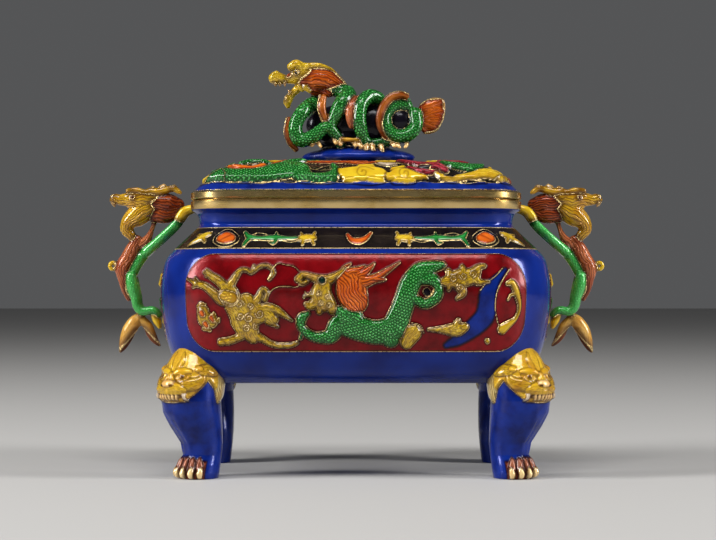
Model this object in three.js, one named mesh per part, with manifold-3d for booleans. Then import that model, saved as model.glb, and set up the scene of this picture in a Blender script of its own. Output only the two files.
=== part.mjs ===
// A small cloisonne incense burner: a cast vessel on four lion legs, two dragon handles and a domed lid
// with a coiled dragon on top. Millimetres, +Z up, front towards -Y, origin on the table under the middle.
import * as THREE from "three";
import { mergeGeometries, mergeVertices } from "three/addons/utils/BufferGeometryUtils.js";
import Module from "manifold-3d";

const wasm = await Module();
wasm.setup();

// Every level of the vessel and the lid is one core rectangle with a radius around it.
const CORE_X = 29.1;
const CORE_Y = 13;
const CORNER_STEPS = 4;
const GAP = 0.3;

// Heights above the table.
const FLOOR_Z = 22.6;
const BELLY_Z = 43.5;
const SHOULDER_Z = 54.4;
const NECK_Z = 60.8;
const RIM_Z = 64.2;
const MOUTH_Z = 66.4;
const LID_Z = MOUTH_Z + GAP;
const LID_RIM_Z = 68.5;
const MARGIN_Z = 70.6;
const DOME_Z = 75.6;
const CROWN_Z = 77.2;

// Radii around the core rectangle.
const FLOOR_R = 8;
const BELLY_R = 18;
const SHOULDER_R = 15;
const NECK_R = 8.8;
const RIM_R = 11;
const MOUTH_R = 9;
const WALL = 2;

// Colours of the enamels and of the bare metal.
const BLUE = 0x1a2fa8;
const GREEN = 0x1f8a45;
const YELLOW = 0xc79a1e;

const VESSEL_OUTSIDE = [
  [0, FLOOR_Z],
  [FLOOR_R, FLOOR_Z],
  [12.4, 24.9],
  [15.4, 29],
  [17.1, 34.8],
  [BELLY_R, BELLY_Z],
  [17.7, 48.6],
  [16.8, 52.2],
  [SHOULDER_R, SHOULDER_Z],
  [9.3, 59.8],
  [NECK_R, NECK_Z],
  [9.3, 63],
  [RIM_R, RIM_Z],
  [RIM_R, MOUTH_Z],
];
const VESSEL_INSIDE = [
  [MOUTH_R, MOUTH_Z],
  [MOUTH_R - 0.1, RIM_Z + 0.2],
  [NECK_R - WALL, NECK_Z + 1],
  [NECK_R - WALL, NECK_Z - 1],
  [SHOULDER_R - WALL, SHOULDER_Z - WALL / 2],
  [BELLY_R - WALL, BELLY_Z],
  [15.1, 35.2],
  [13.5, 30.2],
  [11, 26.6],
  [FLOOR_R - 1, FLOOR_Z + WALL],
  [0, FLOOR_Z + WALL],
];
const LID_OUTSIDE = [
  [RIM_R, LID_Z],
  [RIM_R, LID_RIM_Z],
  [RIM_R - 2.6, MARGIN_Z],
  [5.2, 73.4],
  [2.6, 74.8],
  [0, DOME_Z],
];
const LIP_R = MOUTH_R - 0.5;
const LIP_WALL = 1.3;
const LIP_DEPTH = 1.7;
const LID_INSIDE = [
  [0, DOME_Z - WALL],
  [3.4, 72.2],
  [LIP_R - LIP_WALL, 69.6],
  [LIP_R - LIP_WALL, LID_Z - LIP_DEPTH],
  [LIP_R, LID_Z - LIP_DEPTH],
  [LIP_R, LID_Z],
];

// A closed geometry as a solid, turned the right way out.
function solid(geometry) {
  const bare = new THREE.BufferGeometry();
  bare.setAttribute("position", geometry.getAttribute("position"));
  bare.setIndex(geometry.index);
  const merged = mergeVertices(bare, 1e-4);
  const corners = new Uint32Array(merged.index.array);
  const faces = corners.filter((_, i) => {
    const [a, b, c] = corners.slice(3 * Math.floor(i / 3), 3 * Math.floor(i / 3) + 3);
    return a !== b && b !== c && a !== c;
  });
  const vertProperties = merged.attributes.position.array;
  const made = new wasm.Manifold(new wasm.Mesh({ numProp: 3, vertProperties, triVerts: faces }));
  if (made.volume() > 0) return made;
  return new wasm.Manifold(new wasm.Mesh({ numProp: 3, vertProperties, triVerts: faces.reverse() }));
}

function union(solids) {
  return solids.reduce((whole, next) => whole.add(next));
}

// Moves every vertex of a geometry to the place that the rule gives.
function bend(geometry, rule) {
  const position = geometry.attributes.position;
  for (let i = 0; i < position.count; i++) {
    const moved = rule(position.getX(i), position.getY(i), position.getZ(i));
    position.setXYZ(i, moved.x, moved.y, moved.z);
  }
  return geometry;
}

// A turned form whose quarters are pulled apart by the core rectangle, flat or ridged over the rectangle.
function turned(profile, ridgeRise = 0) {
  const columns = 4 * (CORNER_STEPS + 1);
  const outline = profile.map(([radius, z]) => new THREE.Vector2(radius, z));
  const wall = new THREE.LatheGeometry(outline, columns);
  for (let column = 0; column <= columns; column++) {
    const quarter = Math.floor((column % columns) / (CORNER_STEPS + 1));
    const step = (column % columns) % (CORNER_STEPS + 1);
    const angle = ((quarter + step / CORNER_STEPS) * Math.PI) / 2;
    const x = quarter === 0 || quarter === 3 ? CORE_X : -CORE_X;
    const y = quarter < 2 ? CORE_Y : -CORE_Y;
    profile.forEach(([radius, z], row) => {
      const at = column * profile.length + row;
      wall.attributes.position.setXYZ(at, x + radius * Math.cos(angle), y + radius * Math.sin(angle), z);
    });
  }
  const [first, last] = [profile[0][1], profile[profile.length - 1][1]];
  return mergeGeometries([bareOf(wall), hippedCap(first, 0, true), hippedCap(last, ridgeRise, false)]);
}

function bareOf(geometry) {
  geometry.deleteAttribute("normal");
  geometry.deleteAttribute("uv");
  return geometry;
}

// The cover over the core rectangle, with a low ridge along its middle like a hipped roof.
function hippedCap(z, rise, faceDown) {
  const ridge = CORE_X - CORE_Y;
  const points = [
    [CORE_X, CORE_Y, z],
    [-CORE_X, CORE_Y, z],
    [-CORE_X, -CORE_Y, z],
    [CORE_X, -CORE_Y, z],
    [ridge, 0, z + rise],
    [-ridge, 0, z + rise],
  ];
  const faces = [0, 1, 5, 0, 5, 4, 1, 2, 5, 2, 3, 4, 2, 4, 5, 3, 0, 4];
  const cap = new THREE.BufferGeometry();
  cap.setAttribute("position", new THREE.Float32BufferAttribute(points.flat(), 3));
  cap.setIndex(faceDown ? faces.reverse() : faces);
  return cap;
}

// A round limb along a smooth line through points of x, y, z and radius.
function limb(points, sides = 6, stepsPerSpan = 1) {
  const line = new THREE.CatmullRomCurve3(points.map(([x, y, z]) => new THREE.Vector3(x, y, z)));
  const steps = (points.length - 1) * stepsPerSpan;
  const frames = line.computeFrenetFrames(steps);
  const limbGeometry = bareOf(new THREE.CylinderGeometry(1, 1, 1, sides, steps));
  return bend(limbGeometry, (x, y, z) => {
    const step = Math.round((y + 0.5) * steps);
    const share = line.getUtoTmapping(step / steps, 0);
    const span = Math.min(Math.floor(share * (points.length - 1)), points.length - 2);
    const within = share * (points.length - 1) - span;
    const radius = points[span][3] * (1 - within) + points[span + 1][3] * within;
    return line
      .getPoint(share)
      .addScaledVector(frames.normals[step], radius * x)
      .addScaledVector(frames.binormals[step], radius * z);
  });
}

// A rounded lump at a place, with its three radii, tilted about Y by an angle in degrees.
function lump([x, y, z], [rx, ry, rz], tilt = 0, around = 8, rings = 5) {
  return bareOf(new THREE.SphereGeometry(1, around, rings))
    .rotateX(Math.PI / 2)
    .scale(rx, ry, rz)
    .rotateY(THREE.MathUtils.degToRad(tilt))
    .translate(x, y, z);
}

// The radius of a profile at a height, on its outer side.
function radiusAt(profile, z) {
  for (let i = 1; i < profile.length; i++) {
    const [[r0, z0], [r1, z1]] = [profile[i - 1], profile[i]];
    if (z >= z0 && z <= z1 && z1 > z0) return r0 + ((r1 - r0) * (z - z0)) / (z1 - z0);
  }
  return RIM_R;
}

// The outward direction and the core point at a distance along the front, from its middle.
function frontAt(along, cornerRadius) {
  const past = Math.max(Math.abs(along) - CORE_X, 0);
  const side = Math.sign(along);
  const angle = past / cornerRadius;
  return {
    core: new THREE.Vector3(side * Math.min(Math.abs(along), CORE_X), -CORE_Y, 0),
    out: new THREE.Vector3(side * Math.sin(angle), -Math.cos(angle), 0),
  };
}

// Lays a figure drawn flat, with x along the front, y standing off and z up, onto the vessel's belly.
function ontoBelly(geometry) {
  return bend(geometry, (x, y, z) => {
    const { core, out } = frontAt(x, BELLY_R);
    const placed = core.addScaledVector(out, radiusAt(VESSEL_OUTSIDE, z) + y);
    return placed.setZ(z);
  });
}

// Lays a figure onto the lid's slope, with z as the distance up the slope from the margin.
const SLOPE = LID_OUTSIDE.slice(2);
function ontoDome(geometry) {
  return bend(geometry, (x, y, z) => {
    const { core, out } = frontAt(x, RIM_R);
    let rest = Math.max(z, 0);
    for (let i = 1; i < SLOPE.length; i++) {
      const [[r0, z0], [r1, z1]] = [SLOPE[i - 1], SLOPE[i]];
      const length = Math.hypot(r1 - r0, z1 - z0);
      if (rest <= length || i === SLOPE.length - 1) {
        const share = Math.min(rest / length, 1);
        const [tiltOut, tiltUp] = [(z1 - z0) / length, (r0 - r1) / length];
        const placed = core.addScaledVector(out, r0 + (r1 - r0) * share + y * tiltOut);
        return placed.setZ(z0 + (z1 - z0) * share + y * tiltUp);
      }
      rest -= length;
    }
    return core;
  });
}

// The figures of the panels and the lid are low relief, their thickness pressed flat.
const PANEL_RELIEF = 0.55;
const LID_RELIEF = 0.7;
function pressed(geometry, relief) {
  return geometry.scale(1, relief, 1);
}

// A small round knob or claw, with few faces.
function knob(centre, radii, tilt = 0) {
  return lump(centre, radii, tilt, 6, 4);
}

// The scaled dragon that runs across the middle of a panel, from its curled tail to its raised back.
function panelDragonBody() {
  return limb([
    [-10.9, 0, 38.8, 0.9],
    [-12.4, 0, 36.2, 1.6],
    [-8.6, 0, 33.9, 2],
    [-2.6, 0, 36.4, 2.9],
    [4.2, 0, 35.6, 3.3],
    [8.8, 0, 38, 3.1],
    [11.6, 0, 43.8, 2.7],
    [14.6, 0, 48.2, 2.7],
    [18.8, 0, 49, 2.1],
    [20.6, 0, 46.2, 1.6],
    [18.2, 0, 42.4, 1],
  ], 6, 2);
}

// Its head, the flames of its mane and its claws.
function panelDragonDetails() {
  return [
    lump([-7, 0, 43.6], [3.2, 2.6, 3.4]),
    knob([-10.6, 0, 46.8], [3.4, 2, 1.5], 12),
    knob([-10.4, 0, 41.6], [2.2, 1.8, 1.2], -25),
    lump([-0.6, 0, 45.2], [4, 2.8, 4.2]),
    limb([
      [0.5, 0, 47.4, 1.6],
      [4.4, 0, 49.6, 1.3],
      [9.8, 0, 51, 0.5],
    ]),
    limb([
      [1.2, 0, 45.4, 1.6],
      [5.6, 0, 46.6, 1.4],
      [8.6, 0, 48.6, 0.5],
    ]),
    knob([25.4, 0, 47], [4.6, 2, 2.2], -14),
    knob([12.9, 0, 34.2], [2.6, 2, 2.4]),
    knob([21.4, 0, 35.6], [4.4, 1.8, 1.6], -10),
  ];
}

// The trunk of the beast that leaps in front of the dragon.
function panelBeastTrunk() {
  return [
    knob([-29.7, 0, 43.7], [2.6, 2, 2.5]),
    lump([-25.6, 0, 38.6], [4.4, 2.6, 4.4], 30),
    knob([-20.6, 0, 39.6], [2.6, 2, 2.2], 20),
  ];
}

// The beast's hands, horns, legs and tail.
function panelBeastLimbs() {
  const limbs = [
    [
      [-30.6, 45, 1.1],
      [-33, 47.4, 1],
      [-35, 49, 0.7],
    ],
    [
      [-31, 43.6, 1.2],
      [-34.6, 45, 1],
      [-38.2, 46.6, 0.7],
    ],
    [
      [-28.6, 45.4, 1.2],
      [-26.8, 49.2, 0.8],
      [-22.2, 50, 0.8],
      [-20, 47.4, 0.5],
    ],
    [
      [-26.6, 35.4, 1.3],
      [-29.8, 33.6, 1],
      [-33, 32.6, 0.6],
    ],
    [
      [-23.4, 35.2, 1.4],
      [-19.4, 32.6, 0.9],
      [-13.8, 32.4, 0.6],
    ],
    [
      [-36.4, 41.4, 0.7],
      [-35.6, 37.8, 1.2],
      [-32.6, 36, 0.8],
    ],
  ];
  return limbs.map((points) => limb(points.map(([x, z, radius]) => [x, 0, z, radius])));
}

// The scroll at the right end of a panel.
function panelScroll() {
  return limb([
    [35.8, 0, 46.8, 0.8],
    [38.8, 0, 42.4, 1],
    [37.4, 0, 36.8, 0.9],
    [34, 0, 34.8, 0.8],
  ]);
}

function halfTurn(geometry) {
  return geometry.rotateZ(Math.PI);
}

function vessel() {
  const shell = solid(turned([...VESSEL_OUTSIDE, ...VESSEL_INSIDE]));
  const main = () => [panelDragonBody(), ...panelDragonDetails(), ...panelBeastTrunk(), panelScroll()];
  const front = [...main(), ...panelBeastLimbs()].map((shape) => ontoBelly(pressed(shape, PANEL_RELIEF)));
  const back = main().map((shape) => halfTurn(ontoBelly(pressed(shape, PANEL_RELIEF))));
  const relief = union([...front, ...back].map(solid));
  const inward = VESSEL_INSIDE.slice(1, -1).reverse();
  const cavity = solid(turned([[0, FLOOR_Z + WALL], ...inward, [0, RIM_Z]]));
  return shell.add(relief.subtract(cavity));
}

// The figures of one long side of the lid: a scaled dragon, clouds and a second dragon's head and back.
function lidFigures() {
  const bigBack = limb([
    [-36.4, 0, 1.2, 0.7],
    [-32.6, 0, 4.2, 2],
    [-26, 0, 3.6, 2.3],
    [-17.6, 0, 4.8, 2.5],
    [-10, 0, 4, 2.1],
    [-5.4, 0, 2.6, 0.8],
  ]);
  const loop = limb([
    [-31.6, 0, 6.6, 0.7],
    [-26.4, 0, 9.2, 1.4],
    [-20.6, 0, 8, 0.9],
  ]);
  const clouds = [
    [1.4, 3.4, 3.6, 2.6],
    [7.4, 5.2, 3.8, 2.4],
    [13.6, 3.2, 4, 2.2],
  ].map(([x, z, rx, rz]) => knob([x, 0, z], [rx, 2, rz]));
  const redHead = knob([15.6, 0, 8], [4, 2.2, 2.8]);
  const smallBack = limb([
    [17.6, 0, 8.6, 1.2],
    [24.4, 0, 6.6, 1.7],
    [30.6, 0, 5.6, 0.8],
  ]);
  const yellowClaw = limb([
    [17.6, 0, 2.6, 0.9],
    [26.4, 0, 2.4, 1.7],
    [32.6, 0, 3.4, 1.5],
    [37.4, 0, 1.8, 0.7],
  ]);
  return [bigBack, loop, ...clouds, redHead, smallBack, yellowClaw];
}

function lid() {
  const shell = solid(turned([...LID_INSIDE, ...LID_OUTSIDE], CROWN_Z - DOME_Z));
  const front = lidFigures().map((shape) => ontoDome(pressed(shape, LID_RELIEF)));
  const back = lidFigures().map((shape) => halfTurn(ontoDome(pressed(shape, LID_RELIEF))));
  const inward = LID_INSIDE.slice(0, 4).reverse();
  const hollow = solid(turned([[0, LID_Z - LIP_DEPTH], ...inward]));
  return shell.add(union([...front, ...back].map(solid)).subtract(hollow));
}

// What a neighbour is cut away from, so that it stops a small gap short of the piece.
function clearOf(profile, ridgeRise = 0) {
  const grown = profile.map(([radius, z]) => [radius + GAP, z]);
  const [first, last] = [grown[0], grown[grown.length - 1]];
  first[1] -= GAP;
  last[1] += GAP;
  return solid(turned([[0, first[1]], ...grown, [0, last[1]]], ridgeRise));
}

// How far a lion's mask stands out at a place across it and up it: brows, eyes, nose, muzzle and cheeks.
const MASK_FEATURES = [
  { height: 1, across: 2.9, up: 26.4, width: 2.2, tall: 1 },
  { height: -0.8, across: 3, up: 24.6, width: 1.7, tall: 1.1 },
  { height: 1.3, across: 0, up: 23.7, width: 1.5, tall: 1.9 },
  { height: 1.4, across: 0, up: 20.6, width: 3.8, tall: 1.6 },
  { height: 0.8, across: 5.4, up: 23, width: 1.8, tall: 1.6 },
];
function maskRelief(across, up) {
  const heights = MASK_FEATURES.map((feature) => {
    const sideways = (Math.abs(across) - feature.across) / feature.width;
    return feature.height * Math.exp(-(sideways ** 2) - ((up - feature.up) / feature.tall) ** 2);
  });
  return heights.reduce((sum, height) => sum + height);
}

// The leaning shank under the mask: height as a share of the mask's lower edge, place outwards, radius.
const SHANK = [
  [0, -0.4, 5.2],
  [0.07, -0.2, 5.9],
  [0.17, -0.5, 5.8],
  [0.3, -1.7, 4.8],
  [0.45, -1.5, 5],
  [0.67, 0.2, 6.1],
  [1, 1.6, 6.9],
];
// The mask over it: share of the way from its lower edge to its top, radius, place outwards.
const MASK = [
  [0, 1.6, 7.5],
  [0.12, 1.6, 7.7],
  [0.24, 1.5, 7.8],
  [0.36, 1.4, 7.8],
  [0.48, 1.3, 7.7],
  [0.6, 1.2, 7.6],
  [0.74, 1.2, 7.2],
  [0.88, 1.2, 6.1],
  [0.97, 1.2, 4],
];
const MASK_TOP = 32;

// The mask's lower edge rises from the chin to the tips of the mane.
function maskEdge(angle) {
  return 18.6 + 5 * Math.min(Math.abs(angle) / 1.4, 1) ** 1.4;
}

// One leg, its outward side along +X: a shank that ends in a fluted paw, under a lion's mask.
function leg() {
  const around = 18;
  const rows = SHANK.length + MASK.length;
  const tube = bareOf(new THREE.CylinderGeometry(1, 1, 1, around, rows - 1));
  return bend(tube, (x, y, z) => {
    const row = Math.round((y + 0.5) * (rows - 1));
    const even = Math.atan2(z, x);
    const angle = even - 0.35 * Math.sin(even);
    const level = Math.hypot(x, z);
    const edge = maskEdge(angle);
    if (row < SHANK.length) {
      const [share, out, radius] = SHANK[row];
      const paw = THREE.MathUtils.clamp((0.3 - share) / 0.15, 0, 1) * Math.max(Math.cos(0.75 * angle), 0);
      const toed = radius * (1 + paw * 0.13 * Math.cos(9 * angle));
      return new THREE.Vector3(out + level * toed * Math.cos(angle), level * toed * Math.sin(angle), share * edge);
    }
    const [share, out, radius] = MASK[row - SHANK.length];
    const up = edge + share * (MASK_TOP - edge);
    const swept = radius + 1.1 * Math.exp(-(((Math.abs(angle) - 1.5) / 0.35) ** 2)) * (1 - share);
    const front = Math.max(Math.cos(angle), 0);
    const carved = level * (swept + front * maskRelief(radius * Math.sin(angle), up));
    return new THREE.Vector3(out + carved * Math.cos(angle), carved * Math.sin(angle), up);
  });
}

// The leg's axis stands on the diagonal of the vessel's corner.
const LEG_X = 37.8;
const LEG_Y = 20.6;
function legAt(sideX, sideY) {
  const placed = leg()
    .rotateZ(Math.atan2(sideY, sideX))
    .translate(sideX * LEG_X, sideY * LEG_Y, 0);
  return solid(placed).subtract(clearOf(VESSEL_OUTSIDE.slice(1)));
}

// A pair of limbs, one on each side of the handle's middle plane.
function pair(points, sides) {
  return [-1, 1].map((side) => limb(points.map(([x, y, z, radius]) => [x, side * y, z, radius]), sides));
}

// A limb drawn in the handle's middle plane and widened across it.
function widened(points, sides, width) {
  return limb(points.map(([x, z, radius]) => [x, 0, z, radius]), sides).scale(1, width, 1);
}

// The right-hand handle: a dragon that holds the rim with its forelegs and the belly with its hind legs.
function handleRight() {
  const back = widened([
    [51.4, 55.4, 1.7],
    [54, 52.4, 2.2],
    [56, 48.8, 2.5],
    [56.2, 45.2, 2.4],
    [55.2, 41.6, 2],
    [54, 38, 1.6],
  ], 6, 1);
  const forelegs = pair([
    [52.6, 0.8, 54, 1.7],
    [48.8, 1.7, 57.8, 1.6],
    [44.8, 2.2, 61.2, 1.4],
    [43, 2.2, 64.4, 1.4],
    [39.8, 2, 65.2, 1.2],
  ], 6);
  const hindlegs = widened([
    [55.8, 43.8, 1.6],
    [54.6, 41.2, 1.5],
    [53.2, 39.3, 1.3],
    [50.2, 39.3, 1.3],
    [46.2, 38, 1.2],
  ], 6, 2.6);
  const claws = widened([
    [50.2, 39, 1.1],
    [49.6, 36.9, 0.9],
    [49, 35.4, 0.4],
  ], 5, 2.8);
  const chest = widened([
    [49.4, 60.6, 1.4],
    [53.4, 57.4, 1.9],
    [56.4, 53.6, 2.1],
    [57.9, 50.2, 2],
    [57.7, 46.4, 1.5],
    [56.4, 43, 0.9],
  ], 6, 1);
  const bead = knob([60.6, 0, 50.7], [1.7, 1.3, 1.3]);
  const longTail = widened([
    [54, 38.6, 1.5],
    [55.9, 35.8, 2],
    [57.2, 32.8, 1.8],
    [58.8, 29.2, 0.5],
  ], 6, 1);
  const shortTail = widened([
    [53.8, 38, 1.4],
    [51.9, 34.8, 1.6],
    [50.4, 32.4, 1.2],
    [49, 30.2, 0.4],
  ], 5, 1);
  const mane = lump([47.4, 0, 65], [4.1, 3, 4.3]);
  const skullAndSnout = widened([
    [48.6, 67, 2],
    [51.6, 66.8, 3.4],
    [55, 67, 3.2],
    [58.4, 67.2, 2],
    [60.4, 66.9, 1.4],
    [61.6, 66.8, 0.7],
  ], 8, 1);
  const jaw = widened([
    [52.6, 65, 3.2],
    [55.2, 63.6, 3.1],
    [57.2, 61.8, 2.2],
    [57.2, 59.4, 1.5],
    [55.2, 56.8, 1],
  ], 6, 1);
  const horns = widened([
    [55, 69.4, 1],
    [50.2, 70.6, 1],
    [46.8, 70.2, 1],
    [43.4, 68.6, 0.6],
  ], 5, 3);
  const body = [back, ...forelegs, hindlegs, claws, chest, bead, longTail, shortTail];
  const head = [mane, skullAndSnout, jaw, horns];
  const whole = union([...body, ...head].map(solid));
  return whole.subtract(clearOf(VESSEL_OUTSIDE.slice(1)));
}

// The strands of the dragon that coils round the finial's dark core.
function finialCoils() {
  const neckAndLeftLoop = [
    [-13, 0.6, 97, 1.6],
    [-7.6, 0, 95.8, 1.9],
    [-3.4, -2.4, 94.2, 1.9],
    [-4.8, -4.8, 90.8, 1.9],
    [-6.6, -4.8, 86.4, 1.7],
    [-8, 0, 81.6, 1.7],
    [-10.2, 4.4, 86, 1.8],
    [-10.2, 1.2, 91.4, 1.8],
    [-12.8, -4, 89.8, 1.8],
    [-14.8, -5, 86, 1.8],
    [-13.6, -5.2, 82.6, 1.9],
    [-10.2, -5.5, 83.6, 1.8],
    [-7, -5.6, 85.4, 1.7],
    [-3.8, -4.4, 81.8, 1.6],
  ];
  const middleLoop = [
    [-3.2, 4, 82.6, 1.7],
    [-1.6, 5, 88, 1.8],
    [2.6, 2.4, 92.8, 1.8],
    [3.6, -2.2, 93.2, 1.9],
    [0.8, -5, 90.2, 1.9],
    [0.4, -5.6, 85.6, 1.8],
    [3, -4.4, 81.8, 1.7],
    [8, 1.6, 81.2, 1.7],
    [9.8, 4.6, 86.4, 1.8],
    [12, 0.2, 91, 1.8],
    [12.2, -2.8, 90.6, 1.7],
  ];
  const ringMiddle = { x: 10.7, z: 87.1, radius: 3.9, depth: -5 };
  const rightLoop = [70, 110, 150, 190, 230, 270, 310, 350, 385].map((degrees, i) => {
    const angle = THREE.MathUtils.degToRad(degrees);
    const depth = ringMiddle.depth + 0.8 * Math.max(3 - i, i - 5, 0);
    const x = ringMiddle.x + ringMiddle.radius * Math.cos(angle);
    return [x, depth, ringMiddle.z + ringMiddle.radius * Math.sin(angle), 1.75];
  });
  return [limb(neckAndLeftLoop, 6, 2), limb(middleLoop, 6, 2), limb(rightLoop, 6, 1)];
}

// The dragon's head, raised at the left end with its jaws open, and the mane behind it.
function finialHead() {
  const skullAndSnout = limb([
    [-9.6, 0, 98, 2.2],
    [-13, 0, 98, 3],
    [-16.4, 0, 97.6, 1.9],
    [-18.6, 0, 97.5, 1.4],
    [-20.6, 0, 97.9, 1.8],
    [-22, 0, 97.9, 0.7],
  ], 8);
  const jaw = limb([
    [-12.6, 0, 95.6, 1.8],
    [-15.4, 0, 93.8, 1.4],
    [-17.4, 0, 92.4, 1.3],
    [-18.4, 0, 90.4, 0.8],
  ]);
  const mane = limb([
    [-12.6, 0, 97.2, 3.2],
    [-8.6, 0, 97.4, 3.6],
    [-5, 0, 95.8, 2.8],
    [-1.6, 0, 93.4, 1],
  ], 8);
  const crest = limb([
    [-16.6, 0, 101, 0.9],
    [-14.4, 0, 101.2, 1.1],
    [-11.6, 0, 100.6, 1],
    [-8.4, 0, 101, 0.9],
    [-5, 0, 99.2, 0.7],
  ], 5).scale(1, 1.8, 1);
  return [skullAndSnout, jaw, mane, crest];
}

// The broad tail fin, pressed flat.
function finialTail() {
  const fin = limb([
    [14.2, 0, 87.4, 1.5],
    [16.6, 0, 88, 3],
    [19.4, 0, 89.2, 3.8],
    [21.6, 0, 90.4, 2.8],
  ]);
  return fin.scale(1, 0.4, 1).translate(0, -2, 0);
}

// The dragon on the lid, with its dark core and its foot plate.
function finial() {
  const plate = bareOf(new THREE.CylinderGeometry(1, 1.08, 1, 18))
    .rotateX(Math.PI / 2)
    .scale(13.2, 7, 3.8)
    .translate(0.8, 0, 77.9);
  const core = lump([0.4, 0, 86.2], [13.2, 4.2, 6.2], 0, 10, 7);
  const shapes = [plate, core, ...finialCoils(), ...finialHead(), finialTail()];
  return union(shapes.map(solid)).subtract(clearOf(LID_OUTSIDE, CROWN_Z - DOME_Z));
}

function geometryOf(made) {
  const mesh = made.getMesh();
  const geometry = new THREE.BufferGeometry();
  geometry.setAttribute("position", new THREE.BufferAttribute(new Float32Array(mesh.vertProperties), 3));
  geometry.setIndex(new THREE.BufferAttribute(new Uint32Array(mesh.triVerts), 1));
  return geometry;
}

function piece(name, made, color, metalness, roughness) {
  const geometry = geometryOf(made).toNonIndexed();
  geometry.computeVertexNormals();
  const mesh = new THREE.Mesh(geometry, new THREE.MeshStandardMaterial({ color, metalness, roughness }));
  mesh.name = name;
  return mesh;
}

const burner = new THREE.Group();
const handle = handleRight();
burner.add(piece("vessel", vessel(), BLUE, 0.3, 0.2));
burner.add(piece("lid", lid(), GREEN, 0.3, 0.25));
burner.add(piece("finial_dragon", finial(), GREEN, 0.3, 0.25));
burner.add(piece("handle_right", handle, GREEN, 0.3, 0.25));
burner.add(piece("handle_left", solid(halfTurn(geometryOf(handle))), GREEN, 0.3, 0.25));
burner.add(piece("leg_front_left", legAt(-1, -1), YELLOW, 0.4, 0.25));
burner.add(piece("leg_front_right", legAt(1, -1), YELLOW, 0.4, 0.25));
burner.add(piece("leg_back_left", legAt(-1, 1), YELLOW, 0.4, 0.25));
burner.add(piece("leg_back_right", legAt(1, 1), YELLOW, 0.4, 0.25));

export default burner;
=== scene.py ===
import math
import bpy
import numpy as np
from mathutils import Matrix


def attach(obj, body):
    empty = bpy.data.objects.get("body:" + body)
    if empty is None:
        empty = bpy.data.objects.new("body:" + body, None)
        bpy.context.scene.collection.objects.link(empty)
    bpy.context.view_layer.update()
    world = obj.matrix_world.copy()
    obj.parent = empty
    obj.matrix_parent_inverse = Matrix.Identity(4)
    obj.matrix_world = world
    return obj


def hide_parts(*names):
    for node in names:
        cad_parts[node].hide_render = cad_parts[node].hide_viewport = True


# A small cloisonne incense burner. Sizes are in millimetres and become metres where a mesh is made.
# The front faces -Y, and the origin is on the table under the middle.
MM = 0.001
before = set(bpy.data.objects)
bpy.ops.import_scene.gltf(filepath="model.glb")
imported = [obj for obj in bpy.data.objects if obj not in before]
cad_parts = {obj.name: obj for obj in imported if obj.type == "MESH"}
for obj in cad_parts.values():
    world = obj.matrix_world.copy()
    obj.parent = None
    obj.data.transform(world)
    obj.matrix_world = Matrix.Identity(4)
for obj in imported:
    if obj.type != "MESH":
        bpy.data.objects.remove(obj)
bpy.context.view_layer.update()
bpy.ops.object.select_all(action="DESELECT")

# The camera stands straight in front, level with the vessel's belly, and looks slightly up. Its distance
# and lens give the photograph's frame.
EYE_DISTANCE = 460
EYE_HEIGHT = 44.8
AIM_HEIGHT = 49.8
EYE_SIDE = 0.5
LENS = 92.5
FILM_WIDTH = 36
bpy.ops.object.camera_add(
    location=(EYE_SIDE * MM, -EYE_DISTANCE * MM, EYE_HEIGHT * MM),
    rotation=(math.pi / 2 + math.atan((AIM_HEIGHT - EYE_HEIGHT) / EYE_DISTANCE), 0, 0),
)
camera = bpy.context.object
camera.data.lens = LENS
camera.data.sensor_width = FILM_WIDTH
camera.data.clip_start = 10 * MM
bpy.context.scene.camera = camera

# The table is wide, pale and plain. Soft light falls on the burner from a tall window on each side and
# from one in front above, and the room adds a little. The table's paint is the first finish made here.
TABLE_SIZE = 8
TABLE_TONE = (0.44, 0.43, 0.415, 1)
TABLE_ROUGH = 0.6
ROOM_TONE = (0.75, 0.76, 0.78, 1)
ROOM_GLOW = 0.12
WINDOWS = [
    # Place in metres, turn in degrees, width and height in metres, and power.
    ((-0.8, -0.3, 0.45), (61, 0, -70), (0.2, 0.62), 11),
    ((0.85, -0.25, 0.4), (65, 0, 74), (0.17, 0.58), 9),
    ((-0.05, -0.5, 0.85), (31, 0, -5), (0.55, 0.22), 4.8),
]


class Shade:
    """A value in a material. Python's own arithmetic on it adds Math nodes."""

    def __init__(self, finish, socket):
        self.finish = finish
        self.socket = socket

    def math(self, operation, *others):
        return self.finish.node("Math", {"operation": operation}, self, *others)

    def __add__(self, other):
        return self.math("ADD", other)

    def __sub__(self, other):
        return self.math("SUBTRACT", other)

    def __mul__(self, other):
        return self.math("MULTIPLY", other)

    def __truediv__(self, other):
        return self.math("DIVIDE", other)

    def __rsub__(self, other):
        return self.finish.node("Math", {"operation": "SUBTRACT"}, other, self)

    __radd__ = __add__
    __rmul__ = __mul__

    def between(self, low, high):
        """0 below low, 1 above high, and a soft step from one to the other."""
        settings = {"interpolation_type": "SMOOTHSTEP"}
        return self.finish.node("MapRange", settings, self, low, high, 0, 1, output="Result")


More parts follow.
